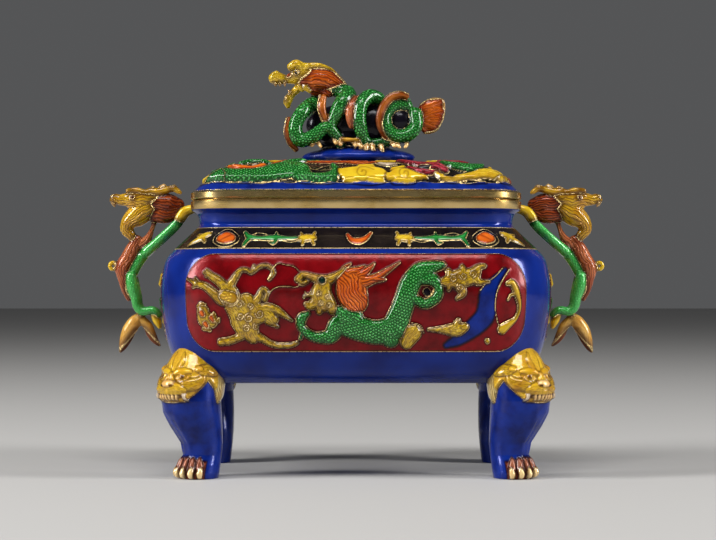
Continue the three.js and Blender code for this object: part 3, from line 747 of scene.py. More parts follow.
head = [
    [(-13.4, 47.3, 0.85), (-12.2, 48.2, 0.75), (-9.8, 47.6, 0.9), (-7.6, 46.9, 1.3), (-5.5, 47.6, 0.95),
     (-3.4, 49, 0.5), (-2.4, 49.8, 0.22)],
    [(-7.4, 46.4, 1.6), (-8.1, 44.2, 2.3), (-7.6, 42.4, 2.5), (-5.9, 41.2, 1.4), (-5.6, 39.9, 0.8)],
    [(-13.2, 47.2, 0.6), (-12.6, 46.3, 0.5), (-11.4, 46.8, 0.5)],
    [(-8.6, 42.4, 1.6), (-10.6, 41.2, 1.0), (-11.6, 41.6, 0.5)],
    [(-8.4, 41.6, 1.2), (-8.5, 39.8, 0.7)],
    [(-10.2, 43.6, 0.5), (-11.6, 43.6, 0.35), (-12.1, 43, 0.2)],
]
front_cells.lay(head, FUR_GOLD, 1.35, ripple=0.8)
head_curls = [(-8.6, 44.2), (-6.6, 43.2), (-8.2, 42), (-6.2, 41.3)]
front_cells.draw(*[curl(x, z, 0.6, x * 60) for x, z in head_curls])
front_cells.lay([[(-7.9, 47, 0.85), (-7.8, 46.9, 0.85)]], GLASS_GREEN, 1.7)
front_cells.draw([(-11.9, 44.4), (-11.2, 43.7), (-10.6, 44.5)])
claws = [
    [(20.8, 46.7, 1.1), (22.4, 47, 1.7), (24.3, 47.5, 2.1), (27, 48, 1.8), (28.6, 49.9, 0.8),
     (30, 50.3, 0.5)],
    [(27.4, 47.6, 1.4), (28.8, 46.6, 0.8), (31, 46.7, 0.25)],
    [(22, 48, 1), (21.6, 49.4, 0.5)], [(25, 49, 1), (24.8, 50.2, 0.5)],
    [(21.8, 46, 0.8), (21.6, 44.8, 0.4)],
    [(23.4, 46.6, 1.3), (24.6, 45, 1.1), (24.8, 43.8, 0.75), (23.6, 42.8, 0.4)],
]
front_cells.lay([unrolled(limb) for limb in claws], FUR_GOLD, 1.0, ripple=0.8)
claw_curls = [(22.8, 47.4), (25, 47.9), (27.2, 48.4), (24.3, 45.5)]
front_cells.draw(*[unrolled(curl(x, z, 0.8, x * 50)) for x, z in claw_curls])
front_cells.lay([[(17, 35.6, 0.35), (20.3, 35.6, 0.9), (23.4, 35.6, 1.6), (25.4, 36.2, 1)],
                 [(23.2, 36.2, 1), (23.9, 37.7, 0.6)]], FUR_GOLD, 0.9, ripple=0.8)
front_cells.lay([[(13.3, 34.8, 2), (11.9, 32.6, 1.5)]], FUR_GOLD, 1.0, ripple=0.7)
front_cells.draw([(13, 37.2), (15, 36.6), (15.9, 34.8)])
squiggle = [
    [(35.4, 46.3, 0.5), (36.5, 46.4, 0.8), (37.5, 44.2, 0.85), (38.3, 40.8, 0.5), (37.5, 38.2, 0.5),
     (35.8, 36.8, 0.9), (34.4, 35.7, 1.2)],
    [(37.4, 43.7, 0.35), (36.2, 43.7, 0.28), (35.5, 42.5, 0.22)],
]
front_cells.lay([unrolled(limb) for limb in squiggle], FUR_GOLD, 0.8)
front_cells.lay([unrolled([(30.8, 33, 0.55), (30.9, 32.8, 0.55)])], FUR_GOLD, 0.7)
framed(front_cells, PANEL_END, 0)

front_panel = relief_sheet("front_panel", front_cells, front_x, front_z, on_wall, PANEL_ARC, PANEL_LIFT)
front_panel.data.materials.append(panel_enamel.material)
stands_on_root(front_panel, "vessel_enamel")


def copied(piece, name, matrix):
    """A copy with its own mesh, its corners turned or mirrored by a matrix."""
    copy = piece.copy()
    copy.data = piece.data.copy()
    copy.name = name
    bpy.context.collection.objects.link(copy)
    place_corners(copy, corners_of(copy) @ np.array(matrix, float).T)
    if np.linalg.det(np.array(matrix, float)) < 0:
        edit(copy, closed_up)
    return copy


HALF_TURN = [(-1, 0, 0), (0, -1, 0), (0, 0, 1)]
stands_on_root(copied(front_panel, "back_panel", HALF_TURN), "vessel_enamel")

END_PANEL = 15.4
END_STEP = 0.35
end_middle = outline_marks(PANEL_ARC)[-1] / 4
end_x = end_middle + grid_lines(-END_PANEL - PAST_END, END_PANEL + PAST_END, END_STEP)
end_z = grid_lines(PANEL_LOW - PAST_LOW, PANEL_HIGH + PAST_HIGH, END_STEP)
end_cells = Cells(*np.meshgrid(end_x, end_z), CRIMSON)
for side in (-1, 1):
    for out, up in ((9.4, 46.8), (5.6, 37.6), (2.6, 48.6)):
        x = end_middle + side * out
        end_cells.lay([[(x - 2.6, up - 0.6, 0.9), (x, up, 1.7), (x + 2.6, up - 0.6, 0.9)],
                       [(x - 0.8, up + 1.4, 0.9), (x + 0.9, up + 1.6, 0.8)]], YELLOW, 0.9, hair=0.4)
        end_cells.draw([(x - 0.9, up - 0.3), (x, up + 0.6), (x + 0.8, up - 0.2), (x, up - 0.7)],
                       groove=True)
    end_cells.lay([[(end_middle + side * 12.6, 33.4, 0.6), (end_middle + side * 8, 34.2, 1.4),
                    (end_middle + side * 3.4, 33, 1.2), (end_middle, 34.4, 1.3)]], BLUE, 0.5)
    end_cells.lay([[(end_middle + side * 10.6, 41.2, 0.7), (end_middle + side * 12.4, 42.6, 0.6),
                    (end_middle + side * 12.8, 40.2, 0.4)]], GREEN, 0.8, scales=1.0)
framed(end_cells, END_PANEL, end_middle)
right_panel = relief_sheet("right_panel", end_cells, end_x, end_z, on_wall, PANEL_ARC, PANEL_LIFT)
right_panel.data.materials.append(panel_enamel.material)
stands_on_root(right_panel, "vessel_enamel")
stands_on_root(copied(right_panel, "left_panel", HALF_TURN), "vessel_enamel")

# The shoulder carries a band of small enamel figures on a dark brown ground, between brass wires: a
# smile of orange, dragons that face the middle, and discs at the corners. It is part of the vessel's
# casting, and a blue line is left between it and the panels.
BROWN_BLACK = (0.012, 0.008, 0.007)
PALE_METAL = (0.62, 0.5, 0.36)
BAND_ARC = 12.2
BAND_LOW, BAND_HIGH = 54.35, 59.9
BAND_FRAME = 0.25
# The front has the finer grid, up to this far from its middle.
FINE_SIDE = 42
band_length = outline_marks(BAND_ARC)[-1]
band_x = np.concatenate([
    grid_lines(-FINE_SIDE, FINE_SIDE, 0.27)[:-1], grid_lines(FINE_SIDE, band_length - FINE_SIDE, 0.55),
])
band_z = grid_lines(BAND_LOW, BAND_HIGH, 0.18)
band_cells = Cells(*np.meshgrid(band_x, band_z), BROWN_BLACK)


def band_figures(middle):
    """The figures over one long side, the same to the left and to the right of its middle."""
    band_cells.lay([[(middle - 2, 57.8, 0.4), (middle - 1, 56.5, 0.65), (middle + 0.6, 56.2, 0.8),
                     (middle + 2.2, 56.8, 0.65), (middle + 3.6, 58.2, 0.35)]], ORANGE, 0.35)
    for side in (-1, 1):
        def at(*points):
            return [(middle + side * x, z, *r) for x, z, *r in points]

        band_cells.lay([
            at((9.8, 57, 0.6), (11.4, 57, 0.95), (13, 56.8, 0.8)),
            at((10.2, 57.2, 0.5), (9.7, 58.3, 0.35)),
            at((12.4, 57.2, 0.5), (13, 58.2, 0.25)),
            at((10.4, 56.6, 0.5), (9.9, 55.5, 0.35)),
            at((12.4, 56.4, 0.5), (12.6, 55.4, 0.35)),
        ], YELLOW, 0.45, ripple=0.3)
        band_cells.lay([
            at((14, 57, 0.4), (16.5, 56.9, 0.5), (19, 57, 0.75), (22.5, 56.9, 0.5), (25.2, 57.2, 0.65),
               (26.2, 58.3, 0.4)),
            at((25, 57, 0.6), (25.8, 56.2, 0.5), (26.4, 55.2, 0.4)),
            at((19, 57, 0.5), (18.8, 58.3, 0.25)),
            at((18.6, 56.8, 0.5), (19.4, 55.7, 0.4), (20.4, 55.9, 0.2)),
        ], GREEN, 0.45)
        band_cells.lay([at((28.8, 56.9, 1.3), (30.6, 57, 2.15), (32.4, 56.9, 1.3))], BROWN_BLACK, 0.2)
        band_cells.lay([at((29.4, 56.8, 1), (30.6, 56.9, 1.45), (31.8, 56.8, 1))], ORANGE, 0.5)
        band_cells.draw(at((29.6, 57.5), (30.8, 56.9), (31.6, 56.3)), groove=True)
        band_cells.lay([
            at((35.4, 58, 0.6), (36.8, 57.4, 1), (38.4, 56.4, 0.7), (39.6, 55.4, 0.3)),
            at((36.4, 57, 0.5), (35.4, 56, 0.25)),
            at((37.6, 57.6, 0.5), (39.4, 57.8, 0.25)),
        ], YELLOW, 0.5, ripple=0.5)
        band_cells.draw(at((13.4, 56.4), (15.5, 55.9), (17.6, 56.3)),
                        at((21, 57.8), (23, 58.2), (24.4, 57.8)))


for middle in (0, band_length / 2):
    band_figures(middle)
for middle in (band_length / 4, band_length * 3 / 4):
    band_cells.lay([[(middle - 6, 57, 0.5), (middle, 56.8, 0.7), (middle + 6, 57, 0.5)]], GREEN, 0.4)
    band_cells.lay([[(middle - 9.4, 57, 0.8), (middle - 8.4, 57, 0.8)],
                    [(middle + 8.4, 57, 0.8), (middle + 9.4, 57, 0.8)]],
                   YELLOW, 0.4)
band_edges = np.minimum(
    band_cells.spots[:, 1] - BAND_LOW - BAND_FRAME, BAND_HIGH - BAND_FRAME - band_cells.spots[:, 1])
band_cells.wire = np.minimum(band_cells.wire, np.abs(band_edges))
band = relief_sheet("shoulder_band", band_cells, band_x, band_z, on_wall, BAND_ARC, 0.1, back_rows=2)
band.data.materials.append(panel_enamel.material)
stands_on_root(band, "vessel_enamel")

# The lid is a second casting that lifts off. Its rim is bare polished brass; over it come a blue margin
# and then dragons and clouds in raised enamel, right up to the plate of the finial.
LID_PROFILE = [
    (ON_AXIS, 74.1), (3, 73.1), (5.4, 71.6), (7.8, 69.8), (9.4, 68.75), (10.6, 68.6), (11, 68.2),
    (11, 66.95), (10.8, 66.72), (8.5, 66.7), (8.45, 65.05), (7.25, 65), (7.15, 69), (4.6, 71.1),
    (2.6, 72.3), (ON_AXIS, 73.1),
]
LID_FACE = np.array([(10.2, 68.5), (9.2, 69.5), (7.7, 71.1), (5.5, 72.8), (3, 74.1), (0, 75)])
LID_ARC = 8
CROWN_RISE = 1.9
MARGIN = 2.6
# From the front, points of the lid look this much higher than they are, and its slope looks shorter.
SEEN_HIGHER = 0.9
SLOPE_STRETCH = 1.28
CROWN_STRETCH = 3
ROSE = (0.4, 0.03, 0.05)
lid_wall = turned("lid_wall", LID_PROFILE)
lid_finish = Finish("polished brass rim")
spot = lid_finish.node("TexCoord", {}, output="Object")
brass, brass_rough = polished(lid_finish, spot)
lid_finish.wear(Base_Color=brass, Metallic=1.0, Roughness=brass_rough)
lid_wall.data.materials.append(lid_finish.material)
stands_on_root(lid_wall, "lid_enamel", "lid")

face_run = np.concatenate([[0], np.cumsum(np.hypot(*np.diff(LID_FACE, axis=0).T))])
face_slope = np.gradient(LID_FACE, axis=0)
face_slope /= np.linalg.norm(face_slope, axis=1)[:, None]
crown_run = face_run[-1] + math.hypot(CORE_Y, CROWN_RISE)


def on_lid(x, run, rise, arc):
    """Sets points on the lid, counted up its slope from the rim; past the slope the crown is hipped."""
    core_x, core_y, angle = stations(x, arc)
    rho = np.interp(run, face_run, LID_FACE[:, 0])
    crown = np.clip((run - face_run[-1]) / (crown_run - face_run[-1]), 0, 1)
    z = np.interp(run, face_run, LID_FACE[:, 1]) + CROWN_RISE * crown
    out = np.interp(run, face_run, face_slope[:, 1]) * (1 - crown)
    up = np.interp(run, face_run, -face_slope[:, 0])
    rho = rho + rise * out
    return np.column_stack([
        core_x * (CORE_X - crown * CORE_Y) + rho * np.cos(angle),
        core_y * CORE_Y * (1 - crown) + rho * np.sin(angle),
        z + rise * up,
    ])


def up_slope(*points):
    """Points seen square on from the front, as places along the lid's outline and up its slope."""
    moved = []
    for x, z, *radius in points:
        z = z - SEEN_HIGHER
        run = float(np.interp(z, LID_FACE[:, 1], face_run)) + max(z - LID_FACE[-1, 1], 0) * CROWN_STRETCH
        past = abs(x) - CORE_X
        if past > 0:
            x = math.copysign(CORE_X + LID_ARC * math.asin(min(past / (LID_ARC + 1), 1)), x)
        moved.append((x, run, *(r * SLOPE_STRETCH for r in radius)))
    return moved


lid_length = outline_marks(LID_ARC)[-1]
lid_x = np.concatenate([
    grid_lines(-FINE_SIDE, FINE_SIDE, 0.25)[:-1], grid_lines(FINE_SIDE, lid_length - FINE_SIDE, 0.5),
])
FINE_RUN = 16
lid_run = np.concatenate([grid_lines(0, FINE_RUN, 0.26)[:-1], grid_lines(FINE_RUN, crown_run, 0.5)])
lid_cells = Cells(*np.meshgrid(lid_x, lid_run), BROWN_BLACK)


def lid_side(shift):
    """One long side of the lid. The other is the same, half way round."""
    def lay(limbs, *rest, **more):
        moved = [[(x + shift, s, *r) for x, s, *r in up_slope(*limb)] for limb in limbs]
        lid_cells.lay(moved, *rest, **more)

    def draw(*lines, **more):
        lid_cells.draw(*[[(x + shift, s) for x, s in up_slope(*line)] for line in lines], **more)

    lay([[(-12.6, 76.4, 0.6), (-8, 76.1, 0.9), (-3, 76.2, 0.9), (1.6, 75.6, 0.7), (5, 76.2, 0.5)],
         [(-10, 76.8, 0.5), (-4, 77, 0.6), (3, 76.9, 0.5)]], ORANGE, 0.8, ripple=0.8)
    lay([[(-37, 71.6, 0.7), (-34.5, 72.8, 1.7), (-30, 72.7, 1.7), (-26, 72.6, 1.8), (-22, 72.9, 2),
          (-18, 73.8, 2.6), (-14.5, 74, 2.7), (-12.5, 72.5, 1.7), (-9.5, 72.1, 1.3), (-6, 72.3, 1.5),
          (-4.8, 73.8, 1), (-5.6, 74.9, 0.6)],
         [(-17, 75.4, 1), (-13.5, 76.2, 0.9)]], GREEN, 1.5, scales=1.0, round_off=1.5)
    lay([[(-28, 75.2, 0.6), (-26, 75.8, 0.7), (-22.5, 75.9, 0.7), (-20.8, 75.3, 0.5)]], GREEN, 1.3,
        scales=1.0)
    lay([[(-32, 74.3, 0.5), (-28.4, 74.3, 0.7), (-25, 74, 0.7), (-22.3, 74.6, 0.8)],
         [(-19.8, 75.2, 0.4), (-17, 76, 0.4), (-13.8, 76.8, 0.35)]], ORANGE, 1.4)
    lay([[(-30.2, 74.6, 0.4), (-29.4, 74.8, 0.45)], [(-24.8, 74.7, 0.4), (-24, 74.9, 0.4)]], PALE_METAL,
        1.5)
    lay([[(-37.4, 71.4, 0.7), (-36.4, 72.2, 0.8)]], YELLOW, 1.0)
    lay([[(-11.6, 74.9, 0.35), (-10, 74.5, 0.5)],
         [(-10.4, 74, 0.5), (-8.6, 73.6, 0.75), (-6.8, 73.9, 0.6)]], BROWN_BLACK, 0.2)
    draw([(-12.4, 76), (-10.4, 74.2), (-8, 75), (-6.2, 75.5)], [(-8.6, 73.9), (-7.2, 74.5), (-6.2, 74.1)],
         [(-4.1, 75.6), (-3.5, 74.6), (-4, 73), (-4.4, 71.4)],
         [(-35.6, 72), (-33.6, 73.4), (-31.6, 72.6), (-31.4, 71.2)])
    lay([[(-2.4, 73.2, 1.6), (1.7, 73.2, 2.2), (5, 73.2, 1.7), (6.8, 72.8, 1)],
         [(-2, 72, 1), (3, 71.5, 1.1), (6, 71.6, 0.8)],
         [(1, 74.6, 0.8), (4, 74.7, 0.6)]], YELLOW, 1.1, wired=False)
    lay([[(8.4, 72.4, 1.1), (10.6, 73.1, 1.6), (12.4, 72.9, 1.4), (14.4, 72.5, 1), (16.8, 72.3, 0.5)],
         [(9.6, 71.4, 0.9), (13.4, 71.5, 0.8)], [(8.8, 74, 0.6), (11.6, 74.5, 0.5)]], YELLOW, 1.1,
        wired=False)
    for x, z in ((1.7, 73.1), (11.8, 72.9)):
        draw([(x - 0.3, z), (x, z + 0.45), (x + 0.7, z + 0.2), (x + 0.5, z - 0.7), (x - 0.6, z - 0.8),
              (x - 1.4, z), (x - 0.8, z + 1), (x + 0.8, z + 1.1), (x + 2.6, z + 0.5)], groove=True)
    draw([(-2.8, 71.8), (-1, 72), (1.6, 71.5), (4, 72.2), (6.8, 71.6)],
         [(9, 71.7), (10.4, 72.1), (12.4, 71.7), (15, 72)], groove=True)
    # Painted highlight: a pale patch above the clouds.
    lay([[(5.6, 75.6, 0.5), (7.6, 75.2, 0.7), (9.4, 75.4, 0.5)]], PALE_METAL, 0.9)
    lay([[(10.5, 76.2, 0.6), (13.5, 75.5, 0.9), (17, 74.9, 1.3), (19.5, 74.8, 1.2), (21.6, 73.8, 0.7)],
         [(12.6, 74.2, 0.6), (16, 73.5, 0.7), (19.6, 73.2, 0.6)]], ROSE, 1.2, hair=1.0)
    lay([[(14.4, 74.4, 0.4), (17.4, 74.4, 0.45)]], BROWN_BLACK, 0.4)
    lay([[(20.6, 75.7, 0.5), (23.5, 74.9, 1.1), (27, 74.3, 1.3), (30, 74.4, 1), (32.2, 74.6, 0.5)]],
        GREEN, 1.3, scales=1.0)
    lay([[(21, 76.4, 0.4), (24.5, 76, 0.4), (27.2, 75.6, 0.3)]], ROSE, 1.2)
    lay([[(19.2, 72.8, 0.4), (21, 72.2, 0.8), (23, 71.8, 0.9), (25.5, 72.2, 0.9), (28, 72.5, 1.1),
          (31, 73, 1.3), (34, 72.8, 1.5), (36, 72, 1.1), (37.4, 71.4, 0.6)]], YELLOW, 1.3, ripple=0.3)
    lay([[(21.6, 72.4, 0.35), (23, 72.3, 0.45)]], BROWN_BLACK, 0.5)
    lay([[(26.6, 71.2, 0.35), (30.8, 71.3, 0.4)]], BROWN_BLACK, 0.3)
    lay([[(34.6, 73.8, 0.4), (36.8, 72.4, 0.5), (38, 71.2, 0.4)]], ORANGE, 1.0)
    draw([(24, 72.6), (27, 73.2), (30, 74)], groove=True)
    draw([(33.2, 71.6), (35.3, 72.2), (36.4, 71.4)], [(19.6, 71.6), (21.4, 71.2), (23.6, 71)])
    top = face_run[-1]
    for x in (-24, -8, 9, 25):
        lid_cells.lay([[(shift + x - 3, top + 4, 1.2), (shift + x, top + 5, 1.9),
                        (shift + x + 3, top + 4, 1.2)],
                       [(shift + x - 1.5, top + 7, 1), (shift + x + 2, top + 7.4, 1.1)]], YELLOW, 0.8)
        lid_cells.draw([(shift + x - 1, top + 4.6), (shift + x, top + 5.6), (shift + x + 1.2, top + 4.6),
                        (shift + x + 0.2, top + 3.8)])
    lid_cells.lay([[(shift - 20, top + 9, 0.8), (shift - 10, top + 8.6, 1.2), (shift, top + 9.4, 1.3),
                    (shift + 10, top + 8.6, 1.2), (shift + 20, top + 9, 0.7)]], GREEN, 0.9, scales=1.0)


def lid_end(middle):
    """The clouds over one short side."""
    for x, s in ((-6.5, 5.6), (3.5, 6.4)):
        lid_cells.lay([[(middle + x - 2.6, s, 1.1), (middle + x, s + 0.8, 1.9),
                        (middle + x + 2.8, s, 1.2)],
                       [(middle + x - 1, s + 3, 0.9), (middle + x + 1.6, s + 3.4, 0.8)]], YELLOW, 1.0)
        lid_cells.draw([(middle + x - 1, s + 0.2), (middle + x, s + 1.4), (middle + x + 1.3, s + 0.3),
                        (middle + x, s - 0.4)])
    lid_cells.lay([[(middle - 8, 10.6, 0.8), (middle - 2, 11.4, 1.2), (middle + 4, 10.8, 1.2),
                    (middle + 9, 11.8, 0.6)]],
                  GREEN, 1.1, scales=1.0)
    lid_cells.lay([[(middle - 7, 12.6, 0.4), (middle, 13.3, 0.5), (middle + 7, 12.8, 0.4)]], ORANGE, 1.0)


for shift in (0, lid_length / 2, lid_length):
    lid_side(shift)
for middle in (lid_length / 4, lid_length * 3 / 4):
    lid_end(middle)

# The blue margin ends in a wavy wire and starts at a straight one, just above the rim.
round_lid, up_lid = lid_cells.spots.T
margin_edge = MARGIN + 0.22 * np.sin(round_lid * 0.9) + 0.14 * np.sin(round_lid * 0.37 + 1)
in_margin = up_lid < margin_edge
lid_cells.wire = np.minimum(np.where(in_margin, FAR, lid_cells.wire), np.abs(up_lid - margin_edge))
lid_cells.wire = np.minimum(lid_cells.wire, np.abs(up_lid - 0.2))
lid_cells.tint[in_margin] = BLUE
lid_cells.carving[in_margin] = 0
above_margin = np.clip((up_lid - margin_edge) / 0.5, 0, 1)
lid_cells.rise = np.where(in_margin, 0.15, lid_cells.rise * above_margin)

# The casting swells a little half way up the slope.
lid_swell = np.clip((up_lid - 3) / 6, 0, 1) * np.clip((20 - up_lid) / 6, 0, 1)
lid_cells.rise += 0.4 * lid_swell * lid_swell * (3 - 2 * lid_swell)
lid_relief = relief_sheet("lid_relief", lid_cells, lid_x, lid_run, on_lid, LID_ARC, 0.0, back_rows=3,
                          depth=-0.5)
lid_relief.data.materials.append(panel_enamel.material)
stands_on_root(lid_relief, "lid_enamel")

# The finial is a brass casting of its own in coloured enamel, fixed on the crown of the lid by a blue
# plate. A scaled dragon is coiled round a dark core, with fins along its back and its head to the left.
MAROON = (0.24, 0.035, 0.008)
RUST = (0.5, 0.1, 0.005)
OCHRE = (0.56, 0.32, 0.01)
BRIGHT = (0.78, 0.52, 0.2)
CORAL = (0.46, 0.14, 0.05)
LIGHT_GREEN = (0.07, 0.44, 0.1)
TAIL_GOLD = (0.68, 0.4, 0.08)
FIN_BROWN = (0.4, 0.11, 0.01)
HEAD_GOLD = (0.64, 0.43, 0.012)
MANE_BROWN = (0.36, 0.07, 0.012)
LIMB_SIDES = 14
CAP_RINGS = np.radians([90, 60, 30])
FUSE_SMOOTHING = 4
NEAR_LIMB = 1.5
FROM_FRONT = (0, -1, 0)


def limb_piece(line):
    """A round limb along a line of points with radii, with rounded ends."""
    path, radius = line[:, :3], line[:, 3]
    heading = np.gradient(path, axis=0)
    heading /= np.linalg.norm(heading, axis=1)[:, None]
    rings = len(CAP_RINGS)
    centres = np.vstack([
        path[0] - heading[0] * radius[0] * np.sin(CAP_RINGS)[:, None],
        path,
        path[-1] + heading[-1] * radius[-1] * np.sin(CAP_RINGS[::-1])[:, None],
    ])
    radii = np.concatenate([
        radius[0] * np.cos(CAP_RINGS), radius, radius[-1] * np.cos(CAP_RINGS[::-1]),
    ])
    heading = np.vstack([np.tile(heading[0], (rings, 1)), heading, np.tile(heading[-1], (rings, 1))])
    side = np.eye(3)[np.argmin(np.abs(heading[0]))]
    sides = []
    for ahead in heading:
        side = side - ahead * (side @ ahead)
        side = side / np.linalg.norm(side)
        sides.append(side)
    sides = np.array(sides)
    others = np.cross(heading, sides)

    def place(column, row):
        turn = column * 2 * math.pi / LIMB_SIDES
        return centres[row] + radii[row][:, None] * (
            sides[row] * np.cos(turn)[:, None] + others[row] * np.sin(turn)[:, None])

    return sheet("limb", LIMB_SIDES + 1, len(radii), place)[0]


def lump_piece(centre, radii):
    """A round lump with its own radius along each axis."""
    bpy.ops.mesh.primitive_uv_sphere_add(segments=28, ring_count=16, radius=1)
    piece = bpy.context.object
    place_corners(piece, corners_of(piece) * MM * np.array(radii) + np.array(centre))
    return piece


def edge_of(limbs, centre, grow=1.12):
    """Thin beads along the outer edge of some fins, which curve round a centre seen from the front."""
    x0, z0 = centre
    return [
        [(x0 + (x - x0) * grow, y - 0.2, z0 + (z - z0) * grow, 0.3) for x, y, z, _ in limb]
        for limb in limbs
    ]


class Figure:
    """A carved figure, built of limbs and lumps that are fused into one closed piece and then coloured
    in zones. A limb is a line of points with radii, and a lump is a centre with three radii."""

    def __init__(self):
        self.zones = []

    def zone(self, tint, limbs=(), lumps=(), scales=0.0, hair=0.0, ripple=0.0, lead=0.0):
        """Adds forms of one colour. Where forms meet, a lead of some millimetres lets a zone win."""
        lines = [curve(limb, 4) for limb in limbs]
        self.zones.append((tint, lines, list(lumps), (scales, hair, ripple), lead))

    def fuse(self, name, voxel):
        """Makes the figure one closed piece, with its finest detail about a voxel wide."""
        pieces = []
        for _, lines, lumps, _, _ in self.zones:
            pieces += [limb_piece(line) for line in lines]
            pieces += [lump_piece(centre, radii) for centre, radii in lumps]
        for piece in pieces:
            edit(piece, closed_up)
        bpy.ops.object.select_all(action="DESELECT")
        for piece in pieces:
            piece.select_set(True)
        bpy.context.view_layer.objects.active = pieces[0]
        bpy.ops.object.join()
        whole = bpy.context.object
        whole.name = name
        remesh = whole.modifiers.new("fuse", "REMESH")
        remesh.mode = "VOXEL"
        remesh.voxel_size = voxel * MM
        bpy.ops.object.modifier_apply(modifier="fuse")
        ease = whole.modifiers.new("ease", "SMOOTH")
        ease.factor = 0.5
        ease.iterations = FUSE_SMOOTHING
        bpy.ops.object.modifier_apply(modifier="ease")
        self.colour(whole)
        bpy.ops.object.shade_smooth()
        return whole

    def colour(self, whole):
        """Gives each point of the piece the colour and the pattern of the zone it lies nearest to."""
        points = corners_of(whole)
        count = len(points)
        nearest, second = np.full(count, FAR), np.full(count, FAR)
        tint, flow, carving = np.zeros((count, 4)), np.zeros((count, 3)), np.zeros((count, 3))
        tint[:, 3] = 1
        for zone_tint, lines, lumps, zone_carving, lead in self.zones:
            out = np.full(count, FAR)
            zone_flow = np.zeros((count, 3))
            for line in lines:
                low = line[:, :3].min(axis=0) - line[:, 3].max() - NEAR_LIMB
                high = line[:, :3].max(axis=0) + line[:, 3].max() + NEAR_LIMB
                near = np.flatnonzero(((points > low) & (points < high)).all(axis=1))
                gap, along, aside, heading = reach(points[near], line)
                across = (np.cross(heading, FROM_FRONT) * aside).sum(axis=1)
                closer = gap < out[near]
                chosen = near[closer]
                out[chosen] = gap[closer]
                zone_flow[chosen, 0] = along[closer]
                zone_flow[chosen, 1] = across[closer]
            for centre, radii in lumps:
                from_centre = (points - np.array(centre)) / np.array(radii)
                gap = (np.linalg.norm(from_centre, axis=1) - 1) * min(radii)
                closer = gap < out
                out[closer] = gap[closer]
                zone_flow[closer, 0] = points[closer, 0]
                zone_flow[closer, 1] = points[closer, 2]
            out -= lead
            wins = out < nearest
            second = np.where(wins, nearest, np.minimum(second, out))
            nearest = np.where(wins, out, nearest)
            tint[wins, :3] = zone_tint
            flow[wins] = zone_flow[wins]
            carving[wins] = zone_carving
        give(whole, "tint", tint)
        give(whole, "wire", (second - nearest) * 0.8)
        # Where two zones meet, the enamel gets painted shade.
        give(whole, "seam", (second - nearest) / 2)
        give(whole, "flow", flow)
        give(whole, "carving", carving)


finial = Figure()
finial.zone(BLUE, lumps=[((0.6, 0, 77.9), (14.2, 7.6, 2.6)), ((0.6, 0, 78), (12, 6.8, 2.9))])
finial.zone(CORE_BLACK, lumps=[
    ((0.4, 0.3, 86), (13, 4, 5.8)), ((-0.4, 0.6, 82.5), (10, 4.4, 4)), ((11, -3, 86.8), (2.9, 2.2, 2.9)),
])
right_coil = [
    (11 + 4.1 * math.cos(math.radians(a)), -5 + 0.8 * max(3 - i, i - 5, 0),
     86.8 + 4.1 * math.sin(math.radians(a)), 1.75)
    for i, a in enumerate(range(70, 400, 45))
]
finial.zone(GREEN, [
    [(-13, 0.6, 96, 1.4), (-7.6, 0, 95.4, 1.9), (-1.9, -1.6, 93.8, 2), (-3.2, -4.2, 91.6, 2.1),
     (-4.6, -4.8, 89, 1.9), (-5.7, -4.8, 86.6, 1.5)],
    [(-7, 0, 83, 1.5), (-10.2, 4.4, 86, 1.8), (-10.2, 1.2, 91.4, 1.8), (-12.9, -4, 89.4, 1.8),
     (-15, -5, 85.4, 1.8), (-14, -5.2, 81.9, 1.8), (-10.8, -5.5, 82.6, 1.8), (-7.4, -5.6, 85, 1.5),
     (-5.2, -5, 83.4, 1.4), (-3.8, -4.4, 81.2, 1.4)],
    [(-3.2, 4, 82.6, 1.7), (-1.6, 5, 88, 1.8), (2.6, 2.4, 92, 1.8), (6, -1, 92.4, 1.5),
     (3.6, -2.6, 93, 1.9), (1.5, -4.6, 91.2, 1.8), (0.9, -5.6, 88.4, 1.7), (1, -5.6, 85.4, 1.7),
     (2, -4.8, 82.2, 1.5), (3.4, -4.2, 80.9, 1.4)],
    [(4, 3, 81.4, 1.4), (8, 4.4, 82.6, 1.7), (9.8, 4.6, 86.4, 1.8), (12, 0.2, 91, 1.8),
     (12.6, -2.6, 90.6, 1.6)],
    right_coil,
    [(9.6, -4.8, 82, 1.2), (6.4, -4.4, 81.4, 1.3), (3.4, -4.4, 81, 1.2)],
], scales=1.0)
throat_fin = [[(-8, -4.4, 92.6, 0.8), (-8.4, -5, 90, 1), (-7.6, -5.4, 87.4, 0.7)]]
coil_fin = [[(12.8, -4.2, 92.7, 0.5), (10.8, -4.6, 93.2, 0.8), (8.2, -5, 92.3, 0.8),
             (6.3, -5.6, 89.6, 0.9), (5.7, -5.6, 86.4, 0.9), (6.8, -5.4, 83.6, 0.8),
             (9.2, -4.8, 81.6, 0.6)]]
chest_fin = [[(-16.6, -2.6, 87.4, 0.6), (-17.1, -2.8, 84.4, 0.8), (-16.3, -2.4, 81.6, 0.8),
              (-14.6, -2, 79.8, 0.5)]]
finial.zone(FIN_BROWN, throat_fin + coil_fin + chest_fin, hair=0.5, lead=0.3)
throat_edge = edge_of(throat_fin, (-4, 90), 1.25)
finial.zone(BRIGHT, throat_edge + edge_of(coil_fin, (11, 86.8)) + edge_of(chest_fin, (-11, 85)))
finial.zone(CORAL, [
    [(0.2, -4.2, 92.6, 0.5), (-1.2, -5.4, 90.4, 0.9), (-1.6, -5.9, 87.6, 1), (-1.3, -5.6, 85.2, 0.6)],
], hair=0.6, lead=0.3)
